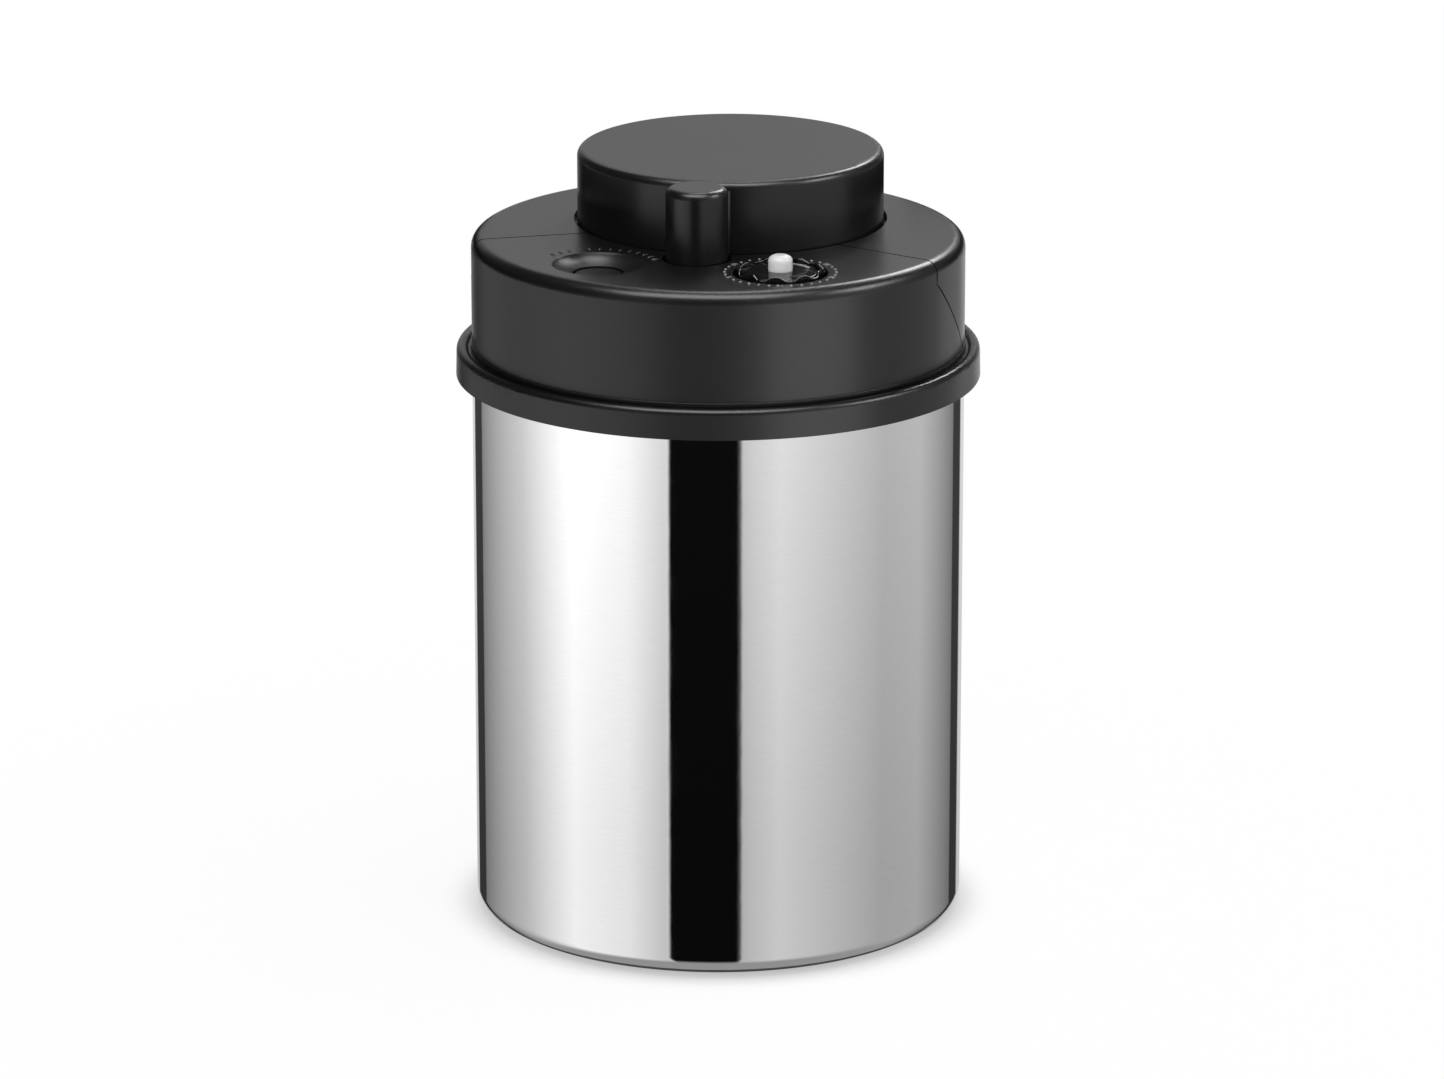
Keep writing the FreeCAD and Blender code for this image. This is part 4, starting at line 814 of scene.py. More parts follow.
# %% The hollow rounds beside the post
knob_low, knob_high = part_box("knob_cap")
POST_RADIUS = 7.1
HOLLOW_RADIUS = 1.0
HOLLOW_TOP_DROP, HOLLOW_FOOT_DROP = 1.9, 20.0
HOLLOW_STEPS = 10
knob_radius = knob_high.x / MM
knob_middle = Vector((0, knob_high.y / MM - knob_radius))
post_middle = Vector((0, knob_low.y / MM + POST_RADIUS))


def circles_cross(growth):
    """The right-hand corner where the knob's and the post's circles cross, both grown by a length."""
    apart = (knob_middle - post_middle).length
    knob_reach, post_reach = knob_radius + growth, POST_RADIUS + growth
    depth = (apart ** 2 + knob_reach ** 2 - post_reach ** 2) / (2 * apart)
    return Vector((math.sqrt(knob_reach ** 2 - depth ** 2), knob_middle.y - depth))


hollow_middle = circles_cross(HOLLOW_RADIUS)
to_knob = (knob_middle - hollow_middle).normalized() * HOLLOW_RADIUS
to_post = (post_middle - hollow_middle).normalized() * HOLLOW_RADIUS
hollow_sweep = to_knob.angle_signed(to_post)
hollow_outline = [circles_cross(0)]
for step in range(HOLLOW_STEPS + 1):
    spoke = to_knob.copy()
    spoke.rotate(Matrix.Rotation(-hollow_sweep * step / HOLLOW_STEPS, 2))
    hollow_outline.append(hollow_middle + spoke)
hollow_heights = (knob_high.z / MM - HOLLOW_FOOT_DROP, knob_high.z / MM - HOLLOW_TOP_DROP)
for side, hand in (("left", -1), ("right", 1)):
    form = bmesh.new()
    foot, top = [
        [form.verts.new((hand * corner.x * MM, corner.y * MM, height * MM)) for corner in hollow_outline]
        for height in hollow_heights
    ]
    form.faces.new(foot)
    form.faces.new(top)
    for step in range(len(hollow_outline)):
        form.faces.new((foot[step - 1], foot[step], top[step], top[step - 1]))
    bmesh.ops.recalc_face_normals(form, faces=form.faces)
    hollow_mesh = mesh_from(form, "post_hollow_" + side)
    hollow = place_piece("post_hollow_" + side, hollow_mesh, "pump_knob", "satin_black_plastic")
    lid_pieces.objects.link(hollow)
print("hollow's middle in mm:", [round(number, 2) for number in hollow_middle])

# %% [markdown]
# The release pin is a small milky push button: a shaft with a domed top that stands out of the dial, a
# collar that the spring pushes up against the lid, and a thin stem to the valve below. It is turned, so
# its round edges come from the outline itself. Its place, top and foot are read from the frame.

# %% The release pin
SMALL_SEGMENTS = 72
pin_low, pin_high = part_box("release_pin")
dial_axis = (pin_low + pin_high) / 2
pin_foot, pin_top = pin_low.z / MM, pin_high.z / MM
collar_radius = (pin_high.x - pin_low.x) / 2 / MM
SHAFT_RADIUS, STEM_RADIUS = 2.75, 1.5
DOME_HEIGHT, DOME_SHARE, DOME_STEPS, COLLAR_ROUND = 1.8, 0.72, 12, 0.2
COLLAR_DROP, COLLAR_HEIGHT = 3.0, 2.0
collar_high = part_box("date_dial")[0].z / MM - COLLAR_DROP
collar_low = collar_high - COLLAR_HEIGHT
pin_corners = [
    (0, pin_foot, 0), (STEM_RADIUS, pin_foot, COLLAR_ROUND), (STEM_RADIUS, collar_low, COLLAR_ROUND),
    (collar_radius, collar_low, COLLAR_ROUND), (collar_radius, collar_high, COLLAR_ROUND),
    (SHAFT_RADIUS, collar_high, COLLAR_ROUND),
]
for step in range(DOME_STEPS + 1):
    turn = math.pi / 2 * step / DOME_STEPS
    dome_drop = DOME_HEIGHT * (1 - math.sin(turn) ** DOME_SHARE)
    pin_corners.append((SHAFT_RADIUS * math.cos(turn) ** DOME_SHARE, pin_top - dome_drop, 0))
pin_mesh = turned_mesh("release_pin_skin", rounded_outline(pin_corners), dial_axis, SMALL_SEGMENTS)
keep_flats_flat(place_piece("release_pin_skin", pin_mesh, "release_valve", "white_plastic", ["release_pin"]))
print("pin top and collar in mm:", [round(height, 3) for height in (pin_top, collar_high, collar_low)])

# %% [markdown]
# What repeats or follows a rule on this canister is grown with Geometry Nodes: a small tree of nodes with
# named sizes makes the shape, and the same tree can be run again with other sizes. Three helpers are
# enough: one starts a tree with its inputs, one ends it with real copies and a finish, and one runs it
# and keeps a plain mesh.


# %% Helpers for grown pieces
def new_growth(name, inputs):
    """Starts a Geometry Nodes tree. Gives the tree and its named inputs."""
    tree = bpy.data.node_groups.new(name, "GeometryNodeTree")
    tree.interface.new_socket("Geometry", in_out="OUTPUT", socket_type="NodeSocketGeometry")
    for label, kind in inputs.items():
        tree.interface.new_socket(label, in_out="INPUT", socket_type="NodeSocket" + kind)
    return tree, add_node(tree, "NodeGroupInput").outputs


def end_growth(tree, geometry, finish):
    """Makes the grown copies real and gives them their finish."""
    real = add_node(tree, "GeometryNodeRealizeInstances", {"Geometry": geometry})
    smooth = add_node(tree, "GeometryNodeSetShadeSmooth", {"Geometry": real.outputs[0]})
    finished = add_node(tree, "GeometryNodeSetMaterial", {"Geometry": smooth.outputs[0], "Material": finish})
    add_node(tree, "NodeGroupOutput", {"Geometry": finished.outputs[0]})


def grown_mesh(name, tree, values, start=None):
    """Runs a tree with plain input values and keeps the result as a mesh."""
    seedling = bpy.data.objects.new(name + "_seedling", start or bpy.data.meshes.new(name + "_seedling"))
    scene.collection.objects.link(seedling)
    growth = seedling.modifiers.new("growth", "NODES")
    growth.node_group = tree
    for row in tree.interface.items_tree:
        if row.in_out == "INPUT" and row.name in values:
            growth[row.identifier] = values[row.name]
    grown = seedling.evaluated_get(bpy.context.evaluated_depsgraph_get())
    mesh = bpy.data.meshes.new_from_object(grown)
    mesh.name = name
    bpy.data.objects.remove(seedling)
    print(name, "faces:", len(mesh.polygons))
    return mesh


# %% [markdown]
# The date dial is a low wheel with a thin scalloped rim for the fingertip and a hub that reaches down
# through the cover. Nine lobes of the rim swell outwards and droop a little, like petals, and a narrow
# moat parts the rim from the slightly raised face. The wheel starts as a plain turned one. A tree then
# moves the points of its rim out and in, and down, by the cosine of nine times their angle. The lid's
# other black parts are satin; the wheel is glossy.

# %% The wheel's outline
dial_low, dial_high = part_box("date_dial")
LOBES, LOBE_DEPTH, LOBE_DROOP, LOBE_SEGMENTS = 9, 0.45, 0.8, 24
LOBE_ANGLE = math.radians(14)
RIM_WALL, MOAT = 0.5, 0.6
HUB_BORE, HUB_RADIUS, CLIP_GROOVE = 3.05, 4.4, 3.9
GROOVE_RISE, GROOVE_WIDTH, WHEEL_RISE = 1.6, 1.4, 4.8
MOAT_RISE, FACE_RISE, FACE_CROWN = 8.4, 0.6, 0.4
SMALL_ROUND, RIM_ROUND = 0.15, 0.22
crest_radius = (dial_high.x - dial_axis.x) / MM
rim_radius = crest_radius - LOBE_DEPTH
rim_inside = rim_radius - RIM_WALL
face_radius = rim_inside - MOAT
hub_foot, rim_top = dial_low.z / MM, dial_high.z / MM
groove_low = hub_foot + GROOVE_RISE
groove_high = groove_low + GROOVE_WIDTH
wheel_foot = hub_foot + WHEEL_RISE
moat_floor = hub_foot + MOAT_RISE
face_edge = moat_floor + FACE_RISE
face_middle = face_edge + FACE_CROWN
dial_corners = [
    (HUB_BORE, hub_foot, SMALL_ROUND), (HUB_RADIUS, hub_foot, SMALL_ROUND), (HUB_RADIUS, groove_low, 0),
    (CLIP_GROOVE, groove_low, 0), (CLIP_GROOVE, groove_high, 0), (HUB_RADIUS, groove_high, 0),
    (HUB_RADIUS, wheel_foot, SMALL_ROUND), (rim_radius, wheel_foot, RIM_ROUND),
    (rim_radius, rim_top, RIM_ROUND), (rim_inside, rim_top, RIM_ROUND),
    (rim_inside, moat_floor, SMALL_ROUND), (face_radius, moat_floor, SMALL_ROUND),
    (face_radius, face_edge, RIM_ROUND), (HUB_BORE, face_middle, SMALL_ROUND),
]
wheel_blank = turned_mesh("wheel_blank", rounded_outline(dial_corners), (0, 0), LOBE_SEGMENTS * LOBES)
print("dial crest radius and hub foot in mm:", round(crest_radius, 2), round(hub_foot, 3))

# %% A tree that waves the wheel's rim
scallop_tree, given = new_growth("scalloped_wheel", {
    "Wheel": "Geometry", "Lobes": "Float", "Lobe Angle": "Float", "Depth": "Float", "Droop": "Float",
    "Face": "Float", "Rim": "Float", "Moat Floor": "Float", "Rim Top": "Float", "Place": "Vector",
    "Finish": "Material",
})
point = add_node(scallop_tree, "GeometryNodeInputPosition").outputs[0]
point_axes = add_node(scallop_tree, "ShaderNodeSeparateXYZ", {0: point}).outputs
flat_axes = {"X": point_axes["X"], "Y": point_axes["Y"]}
level = add_node(scallop_tree, "ShaderNodeCombineXYZ", flat_axes).outputs[0]
reach = add_node(scallop_tree, "ShaderNodeVectorMath", {0: level}, operation="LENGTH").outputs["Value"]
outward = add_node(scallop_tree, "ShaderNodeVectorMath", {0: level}, operation="NORMALIZE").outputs["Vector"]
angle = add_sum(scallop_tree, "ARCTAN2", point_axes["Y"], point_axes["X"])
from_lobe = add_sum(scallop_tree, "SUBTRACT", angle, given["Lobe Angle"])
wave = add_sum(scallop_tree, "COSINE", add_sum(scallop_tree, "MULTIPLY", from_lobe, given["Lobes"]))
rim_share = add_range(scallop_tree, reach, given["Face"], given["Rim"])
wave_share = add_sum(scallop_tree, "MULTIPLY", wave, rim_share)
shift = add_sum(scallop_tree, "MULTIPLY", wave_share, given["Depth"])
top_share = add_range(scallop_tree, point_axes["Z"], given["Moat Floor"], given["Rim Top"])
petal_share = add_range(scallop_tree, wave, -1.0, 1.0)
outer_share = add_sum(scallop_tree, "MULTIPLY", petal_share, rim_share)
droop_share = add_sum(scallop_tree, "MULTIPLY", outer_share, top_share)
droop = add_sum(scallop_tree, "MULTIPLY", droop_share, given["Droop"])
fall = add_sum(scallop_tree, "MULTIPLY", droop, -1.0)
push = {0: outward, "Scale": shift}
move = add_node(scallop_tree, "ShaderNodeVectorMath", push, operation="SCALE").outputs[0]
sink = add_node(scallop_tree, "ShaderNodeCombineXYZ", {"Z": fall}).outputs[0]
both_moves = add_node(scallop_tree, "ShaderNodeVectorMath", {0: move, 1: sink}, operation="ADD").outputs[0]
waved = add_node(scallop_tree, "GeometryNodeSetPosition", {"Geometry": given["Wheel"], "Offset": both_moves})
set_down = {"Geometry": waved.outputs[0], "Translation": given["Place"]}
wheel = add_node(scallop_tree, "GeometryNodeTransform", set_down).outputs[0]
end_growth(scallop_tree, wheel, given["Finish"])
print("nodes in the wheel's tree:", len(scallop_tree.nodes))

# %% The scalloped date dial
dial_mesh = grown_mesh("date_dial_skin", scallop_tree, {
    "Lobes": float(LOBES), "Lobe Angle": LOBE_ANGLE, "Depth": LOBE_DEPTH * MM, "Droop": LOBE_DROOP * MM,
    "Face": face_radius * MM, "Rim": rim_inside * MM, "Moat Floor": moat_floor * MM, "Rim Top": rim_top * MM,
    "Place": (dial_axis.x, dial_axis.y, 0.0), "Finish": finishes[slot_of["date_dial"]],
}, wheel_blank)
keep_flats_flat(place_piece("date_dial_skin", dial_mesh, "dial", slot_of["date_dial"], ["date_dial"]))


def face_height(radius_mm):
    """The height of the wheel's face at a radius, in metres."""
    share = (radius_mm - HUB_BORE) / (face_radius - HUB_BORE)
    return (face_middle + (face_edge - face_middle) * share) * MM


print("height of the wheel's face at its edge in mm:", round(face_height(face_radius) / MM, 2))

# %% [markdown]
# Three coil springs work inside the lid: a large one lifts the knob, a small one lifts the pin and a fine
# one lifts the disc in the dish. Each is a wire wound on a helix, so one tree serves all three: a spiral
# swept by a circle.

# %% Wound springs
PATH_STEPS, WIRE_STEPS = 48, 12
spring_tree, given = new_growth("wound_spring", {
    "Coil Radius": "Float", "Wire Radius": "Float", "Height": "Float", "Turns": "Float", "Place": "Vector",
    "Finish": "Material",
})
helix = add_node(spring_tree, "GeometryNodeCurveSpiral", {
    "Resolution": PATH_STEPS, "Rotations": given["Turns"], "Start Radius": given["Coil Radius"],
    "End Radius": given["Coil Radius"], "Height": given["Height"],
})
wire = add_node(spring_tree, "GeometryNodeCurvePrimitiveCircle", {
    "Resolution": WIRE_STEPS, "Radius": given["Wire Radius"],
})
sweep = {"Curve": helix.outputs[0], "Profile Curve": wire.outputs[0], "Fill Caps": True}
coil = add_node(spring_tree, "GeometryNodeCurveToMesh", sweep).outputs[0]
set_down = {"Geometry": coil, "Translation": given["Place"]}
spring = add_node(spring_tree, "GeometryNodeTransform", set_down).outputs[0]
end_growth(spring_tree, spring, given["Finish"])

# Wire radius in millimetres, turns, and the joint that moves the spring's knob, pin or disc
SPRINGS = {
    "pump_spring": (0.8, 7.0, "knob_press"),
    "release_spring": (0.35, 6.0, "pin_press"),
    "indicator_spring": (0.25, 7.0, "indicator_sink"),
}
SEAT_GAP = 0.1 * MM
for node, (wire_mm, turns, joint) in SPRINGS.items():
    low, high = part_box(node)
    wire_radius = wire_mm * MM
    middle = (low + high) / 2
    spring_mesh = grown_mesh(node + "_skin", spring_tree, {
        "Coil Radius": (high.x - low.x) / 2 - wire_radius, "Wire Radius": wire_radius,
        "Height": high.z - low.z - 2 * wire_radius, "Turns": turns,
        "Place": (middle.x, middle.y, low.z + wire_radius), "Finish": finishes[slot_of[node]],
    })
    spring = place_piece(node + "_skin", spring_mesh, body_of[node], slot_of[node], [node])
    seat = low.z - SEAT_GAP
    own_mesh(spring)

# %% [markdown]
# Pan head screws hold the barrel to the lid and the stop ring to the knob. One screw is turned and its
# driver recess is pressed into six lobes. A tree then sets copies of it on a circle, each left at a
# random turn, as screws are after tightening. The knob's screws hang head down, so their pattern is
# turned over first.

# %% A tree for a ring of screws
SCREW_SEGMENTS = 48
HEAD_RADIUS, HEAD_HEIGHT, HEAD_ROUND = 2.8, 2.2, 0.9
SHANK_RADIUS, SHANK_POINT = 1.5, 0.4
RECESS_RADIUS, RECESS_DEPTH, RECESS_LOBES, RECESS_WAVE_SHARE = 1.2, 1.2, 6, 0.16
screw_tree, given = new_growth("ring_of_screws", {
    "Pattern": "Object", "Count": "Int", "Circle": "Float", "First Angle": "Float", "Place": "Vector",
    "Seed": "Int", "Finish": "Material",
})
FLOAT_MIN, FLOAT_MAX, FLOAT_VALUE = 2, 3, 1
ring = add_node(screw_tree, "GeometryNodeMeshCircle", {"Vertices": given["Count"], "Radius": given["Circle"]})
first_turn = add_node(screw_tree, "ShaderNodeCombineXYZ", {"Z": given["First Angle"]}).outputs[0]
holes = add_node(screw_tree, "GeometryNodeTransform", {
    "Geometry": ring.outputs[0], "Translation": given["Place"], "Rotation": first_turn,
})
chance = add_node(screw_tree, "FunctionNodeRandomValue", {
    FLOAT_MIN: 0.0, FLOAT_MAX: math.tau, "Seed": given["Seed"],
}, data_type="FLOAT").outputs[FLOAT_VALUE]
pattern = add_node(screw_tree, "GeometryNodeObjectInfo", {"Object": given["Pattern"]}).outputs["Geometry"]
screws = add_node(screw_tree, "GeometryNodeInstanceOnPoints", {
    "Points": holes.outputs[0], "Instance": pattern,
    "Rotation": add_node(screw_tree, "ShaderNodeCombineXYZ", {"Z": chance}).outputs[0],
})
end_growth(screw_tree, screws.outputs[0], given["Finish"])
print("nodes in the screws' tree:", len(screw_tree.nodes))


# %% One screw, and the rings of screws
def screw_pattern(name, length_mm, head_down):
    """Turns one screw, its head's underside at height zero, and presses the recess into lobes."""
    floor = HEAD_HEIGHT - RECESS_DEPTH
    outline = rounded_outline([
        (0, -length_mm, 0), (SHANK_RADIUS, -length_mm, SHANK_POINT), (SHANK_RADIUS, 0, 0),
        (HEAD_RADIUS, 0, 0), (HEAD_RADIUS, HEAD_HEIGHT, HEAD_ROUND), (RECESS_RADIUS, HEAD_HEIGHT, 0),
        (RECESS_RADIUS, floor, 0), (0, floor, 0),
    ])
    mesh = turned_mesh(name, outline, (0, 0), SCREW_SEGMENTS)
    for vertex in mesh.vertices:
        if abs(vertex.co.xy.length - RECESS_RADIUS * MM) < MERGE and vertex.co.z > 0:
            lobe = math.cos(RECESS_LOBES * math.atan2(vertex.co.y, vertex.co.x))
            vertex.co.xy *= 1 + RECESS_WAVE_SHARE * lobe
    if head_down:
        mesh.transform(Matrix.Rotation(math.pi, 4, "X"))
    return bpy.data.objects.new(name, mesh)


# Screws on the circle, first angle in degrees, whether the head hangs down, seed
SCREW_RINGS = {"barrel_screws": (4, 45, False, 3), "knob_screws": (3, 90, True, 5)}
ring_low, ring_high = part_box("knob_stop_ring")
pump_axis = (ring_low + ring_high) / 2
for node, (count, first_angle, head_down, seed) in SCREW_RINGS.items():
    low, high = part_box(node)
    turns = [math.radians(first_angle) + math.tau * screw / count for screw in range(count)]
    circle = (high.y - pump_axis.y - HEAD_RADIUS * MM) / max(math.sin(turn) for turn in turns)
    seat = low.z + HEAD_HEIGHT * MM if head_down else high.z - HEAD_HEIGHT * MM
    length = (high.z - seat) / MM if head_down else (seat - low.z) / MM
    one_screw = screw_pattern(node + "_pattern", length, head_down)
    screws_mesh = grown_mesh(node + "_skin", screw_tree, {
        "Pattern": one_screw, "Count": count, "Circle": circle, "First Angle": math.radians(first_angle),
        "Place": (pump_axis.x, pump_axis.y, seat), "Seed": seed, "Finish": finishes[slot_of[node]],
    })
    bpy.data.objects.remove(one_screw)
    keep_flats_flat(place_piece(node + "_skin", screws_mesh, body_of[node], slot_of[node], [node]))
    print(node, "circle radius in mm:", round(circle / MM, 2))

# %% [markdown]
# Round the dial well the cover carries a calendar of 31 days: a figure at the first day, at every fifth
# and at the last, and a small dot at each of the others. One more dot, between the last day and the
# first, marks the start. The dots are flattened beads on points that a tree lays out by their number,
# leaving out the days that have a figure. Dots and figures are grey, a painted highlight for the light
# that the moulded marks catch.

# %% Day dots round the dial
NUMBERED_DAYS = (1, 5, 10, 15, 20, 25, 31)
RING_PLACES = 1 + NUMBERED_DAYS[-1]
PLACE_STEP = math.tau / RING_PLACES
START_ANGLE = math.radians(-91)
DAY_CIRCLE = 12.6 * MM
DOT_RADIUS, DOT_RISE = 0.36 * MM, 0.32 * MM
BEAD_SEGMENTS, BEAD_RINGS = 12, 8
cover_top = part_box("front_cover")[1].z


def add_bead(tree):
    """Adds a ball of radius one, to be scaled to a dot or a tick."""
    sizes = {"Segments": BEAD_SEGMENTS, "Rings": BEAD_RINGS, "Radius": 1.0}
    return add_node(tree, "GeometryNodeMeshUVSphere", sizes).outputs[0]


def lay_points(tree, given):
    """Lays points along an arc. Gives them, and each point's angle."""
    number = add_node(tree, "GeometryNodeInputIndex").outputs[0]
    turned = add_sum(tree, "MULTIPLY", number, given["Step"])
    angle = add_sum(tree, "ADD", given["First Angle"], turned)
    along = add_sum(tree, "MULTIPLY", add_sum(tree, "COSINE", angle), given["Circle"])
    across = add_sum(tree, "MULTIPLY", add_sum(tree, "SINE", angle), given["Circle"])
    place = add_node(tree, "ShaderNodeCombineXYZ", {"X": along, "Y": across}).outputs[0]
    points = add_node(tree, "GeometryNodePoints", {"Count": given["Count"], "Position": place}).outputs[0]
    moved = add_node(tree, "GeometryNodeTransform", {"Geometry": points, "Translation": given["Place"]})
    return moved.outputs[0], angle


ARC_INPUTS = {
    "Count": "Int", "First Angle": "Float", "Step": "Float", "Circle": "Float", "Size": "Vector",
    "Place": "Vector", "Finish": "Material",
}
dot_tree, given = new_growth("day_dots", ARC_INPUTS)
days = lay_points(dot_tree, given)[0]
day_index = add_node(dot_tree, "GeometryNodeInputIndex").outputs[0]
plain_day = 1.0
for day in NUMBERED_DAYS:
    days_away = add_sum(dot_tree, "ABSOLUTE", add_sum(dot_tree, "SUBTRACT", day_index, float(day)))
    other_day = add_sum(dot_tree, "GREATER_THAN", days_away, 1 / 2)
    plain_day = add_sum(dot_tree, "MULTIPLY", plain_day, other_day)
dots = add_node(dot_tree, "GeometryNodeInstanceOnPoints", {
    "Points": days, "Selection": plain_day, "Instance": add_bead(dot_tree), "Scale": given["Size"],
})
end_growth(dot_tree, dots.outputs[0], given["Finish"])
dots_mesh = grown_mesh("day_dots", dot_tree, {
    "Count": RING_PLACES, "First Angle": START_ANGLE, "Step": -PLACE_STEP, "Circle": DAY_CIRCLE,
    "Size": (DOT_RADIUS, DOT_RADIUS, DOT_RISE), "Place": (dial_axis.x, dial_axis.y, cover_top),
    "Finish": day_painted_highlight,
})
place_piece("day_dots", dots_mesh, "lid", "gloss_black_plastic")

# %% [markdown]
# The figures stand between the dots with their feet outwards. Blender's own text makes them: each number
# is a short text with a little thickness, turned into a mesh, and then set in its place on the ring. They
# are engraved letters on the real cover's mould, so they stand up from the cover by about a fifth of a
# millimetre.

# %% Day numbers round the dial
FIGURE_SIZE, FIGURE_STEPS = 1.8 * MM, 4
FIGURE_RISE, FIGURE_SUNK, FIGURE_EDGE = 0.2 * MM, 0.03 * MM, 0.03 * MM


def raised_figure(words):
    """Makes a flat text with a little thickness, standing on height zero, as a mesh."""
    text = bpy.data.curves.new("figure", "FONT")
    text.body = words
    text.size = FIGURE_SIZE
    text.align_x = "CENTER"
    text.align_y = "CENTER"
    text.extrude = FIGURE_RISE / 2
    text.bevel_depth = FIGURE_EDGE
    text.resolution_u = FIGURE_STEPS
    holder = bpy.data.objects.new("figure", text)
    scene.collection.objects.link(holder)
    mesh = bpy.data.meshes.new_from_object(holder.evaluated_get(bpy.context.evaluated_depsgraph_get()))
    bpy.data.objects.remove(holder)
    return mesh


figures = bmesh.new()
for day in NUMBERED_DAYS:
    angle = START_ANGLE - day * PLACE_STEP
    outward = Vector((math.cos(angle), math.sin(angle), 0))
    sideways = Vector((-outward.y, outward.x, 0))
    centre = dial_axis + outward * DAY_CIRCLE
    place = Matrix((sideways, -outward, (0, 0, 1))).transposed().to_4x4()
    place.translation = (centre.x, centre.y, cover_top + FIGURE_RISE / 2 - FIGURE_SUNK)
    figure = raised_figure(str(day))
    figure.transform(place)
    figures.from_mesh(figure)
bmesh.ops.remove_doubles(figures, verts=figures.verts, dist=MERGE)
bmesh.ops.recalc_face_normals(figures, faces=figures.faces)
figures_mesh = mesh_from(figures, "day_numbers")
# The figures' grey is painted highlight.
place_piece("day_numbers", figures_mesh, "lid", "gloss_black_plastic", finish=day_painted_highlight)
print("day number faces:", len(figures_mesh.polygons))

# %% [markdown]
# Behind the dish the cover has a row of small raised ticks on an arc, and the wheel's face has a few more
# round the pin. They are long beads that point at the middle of the dish or the wheel. The same arc of
# points as for the dots carries them, with each tick turned to its own angle.

# %% Ticks behind the dish and on the wheel
tick_tree, given = new_growth("arc_of_ticks", ARC_INPUTS)
ticks, tick_angle = lay_points(tick_tree, given)
tick_turn = add_node(tick_tree, "ShaderNodeCombineXYZ", {"Z": tick_angle}).outputs[0]
set_ticks = add_node(tick_tree, "GeometryNodeInstanceOnPoints", {
    "Points": ticks, "Instance": add_bead(tick_tree), "Rotation": tick_turn, "Scale": given["Size"],
})
end_growth(tick_tree, set_ticks.outputs[0], given["Finish"])
WHEEL_TICK_CIRCLE = 6.8
# Number of ticks, circle in millimetres, first and last angle in degrees, half sizes of a tick in millimetres
TICK_ROWS = {
    "dish_ticks": (13, 13.4, 152, 28, (1.0, 0.30, 0.24)),
    "wheel_ticks": (8, WHEEL_TICK_CIRCLE, 74, 34, (0.6, 0.2, 0.2)),
}


def lay_ticks(name, body, axis, height, finish):
    """Lays a row of ticks round an axis, at a height, on a body."""
    count, circle_mm, first, last, size_mm = TICK_ROWS[name]
    ticks_mesh = grown_mesh(name, tick_tree, {
        "Count": count, "First Angle": math.radians(first), "Step": math.radians(last - first) / (count - 1),
        "Circle": circle_mm * MM, "Size": tuple(side * MM for side in size_mm),
        "Place": (axis.x, axis.y, height), "Finish": finish,
    })
    place_piece(name, ticks_mesh, body, "gloss_black_plastic")


# Both rows are grey as painted highlight: faint behind the dish, paler on the wheel.
lay_ticks("dish_ticks", "lid", dish_axis, cover_top, tick_painted_highlight)
lay_ticks("wheel_ticks", "dial", dial_axis, face_height(WHEEL_TICK_CIRCLE), day_painted_highlight)

# %% [markdown]
# A raised arrow bent round the pin shows which way the wheel turns. It is a strip along an arc: narrow
# for the tail, suddenly wide at the neck, and then drawn to a point. Its upper edges are taken back a
# little, so that they catch the light.

# %% The wheel's bent arrow
ARROW_CIRCLE = 6.2
ARROW_TAIL, ARROW_NECK, ARROW_POINT = math.radians(-60), math.radians(2), math.radians(18)
TAIL_HALF, HEAD_HALF, POINT_HALF, ARROW_EDGE = 0.18, 1.0, 0.08, 0.06
ARROW_RISE, ARROW_SUNK = 0.2 * MM, 0.25 * MM
TAIL_STEPS = 20
arrow_halves = [
    (ARROW_TAIL + (ARROW_NECK - ARROW_TAIL) * step / TAIL_STEPS, TAIL_HALF) for step in range(TAIL_STEPS + 1)
]
arrow_halves += [(ARROW_NECK, HEAD_HALF), (ARROW_POINT, POINT_HALF)]
arrow = bmesh.new()
arrow_rings = []
for angle, half in arrow_halves:
    arrow_ring = []
    for across, rise in ((-half, -ARROW_SUNK), (half, -ARROW_SUNK), (half - ARROW_EDGE, ARROW_RISE),
                         (ARROW_EDGE - half, ARROW_RISE)):
        radius = (ARROW_CIRCLE + across) * MM
        place = (dial_axis.x + radius * math.cos(angle), dial_axis.y + radius * math.sin(angle))
        arrow_ring.append(arrow.verts.new((*place, face_height(ARROW_CIRCLE + across) + rise)))
    arrow_rings.append(arrow_ring)
arrow.faces.new(arrow_rings[0])
arrow.faces.new(arrow_rings[-1])
for ring, ring_after in zip(arrow_rings, arrow_rings[1:]):
    for step in range(len(ring)):
        arrow.faces.new((ring[step - 1], ring[step], ring_after[step], ring_after[step - 1]))
bmesh.ops.recalc_face_normals(arrow, faces=arrow.faces)
arrow_mesh = mesh_from(arrow, "wheel_arrow")
# The arrow's faint grey is painted highlight.
place_piece("wheel_arrow", arrow_mesh, "dial", "gloss_black_plastic", finish=tick_painted_highlight)
print("arrow faces:", len(arrow_mesh.polygons))
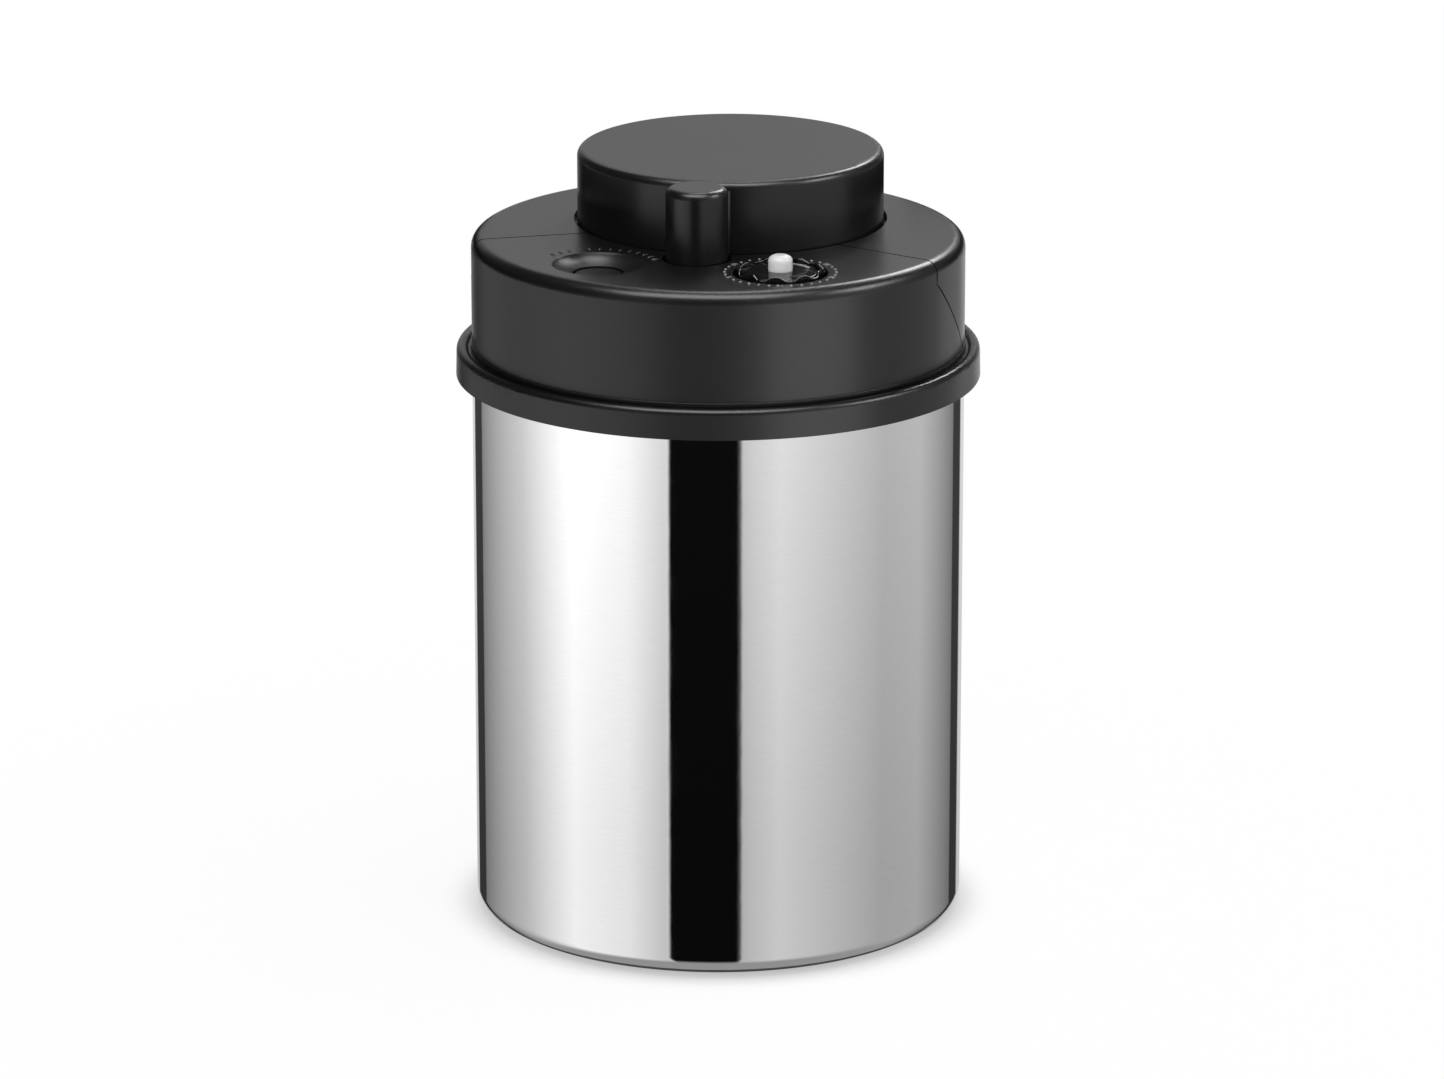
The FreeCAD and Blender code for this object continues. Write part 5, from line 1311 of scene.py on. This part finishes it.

# %% [markdown]
# Under the disc in the dish lies a soft silicone diaphragm, held at its rim by a ring. Vacuum draws its
# middle down, and the disc with it. Here the diaphragm is cut into eight equal sectors, like a cake, which
# ride on no body, so they are put in the scene here and not by the helper.

# %% The soft diaphragm
SECTORS, SECTOR_RINGS, SECTOR_STEPS = 8, 10, 6
flap_low, flap_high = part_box("indicator_diaphragm")
flap_radius = (flap_high.x - flap_low.x) / 2
flap_middle = (flap_low + flap_high) / 2
SECTOR_SWEEP = math.tau / SECTORS


def diaphragm_sector(name, first_angle):
    """Makes one closed sector of the diaphragm."""
    form = bmesh.new()
    layers = []
    for height in (flap_low.z, flap_high.z):
        rings = [[form.verts.new((flap_middle.x, flap_middle.y, height))] * (SECTOR_STEPS + 1)]
        for ring in range(1, SECTOR_RINGS + 1):
            radius = flap_radius * ring / SECTOR_RINGS
            row = []
            for step in range(SECTOR_STEPS + 1):
                angle = first_angle + SECTOR_SWEEP * step / SECTOR_STEPS
                along, across = radius * math.cos(angle), radius * math.sin(angle)
                row.append(form.verts.new((flap_middle.x + along, flap_middle.y + across, height)))
            rings.append(row)
        layers.append(rings)
    bottom, top = layers
    for ring in range(SECTOR_RINGS):
        for step in range(SECTOR_STEPS):
            loop = [top[ring][step], top[ring + 1][step], top[ring + 1][step + 1], top[ring][step + 1]]
            form.faces.new(list(dict.fromkeys(loop)))
            inner, outer = bottom[ring], bottom[ring + 1]
            loop = [inner[step + 1], outer[step + 1], outer[step], inner[step]]
            form.faces.new(list(dict.fromkeys(loop)))
        form.faces.new((bottom[ring][0], bottom[ring + 1][0], top[ring + 1][0], top[ring][0]))
        form.faces.new((top[ring][-1], top[ring + 1][-1], bottom[ring + 1][-1], bottom[ring][-1]))
    for step in range(SECTOR_STEPS):
        form.faces.new((bottom[-1][step], bottom[-1][step + 1], top[-1][step + 1], top[-1][step]))
    return mesh_from(form, name)


for sector in range(SECTORS):
    name = "indicator_diaphragm_sector_" + str(sector + 1)
    mesh = diaphragm_sector(name, SECTOR_SWEEP * sector)
    mesh.materials.append(finishes["silicone"])
    piece = bpy.data.objects.new(name, mesh)
    scene.collection.objects.link(piece)
    middle_angle = SECTOR_SWEEP * (sector + 1 / 2)
    outward = Vector((math.cos(middle_angle), math.sin(middle_angle), 0))
    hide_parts("indicator_diaphragm")
    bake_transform(piece)
print("diaphragm sectors:", SECTORS)
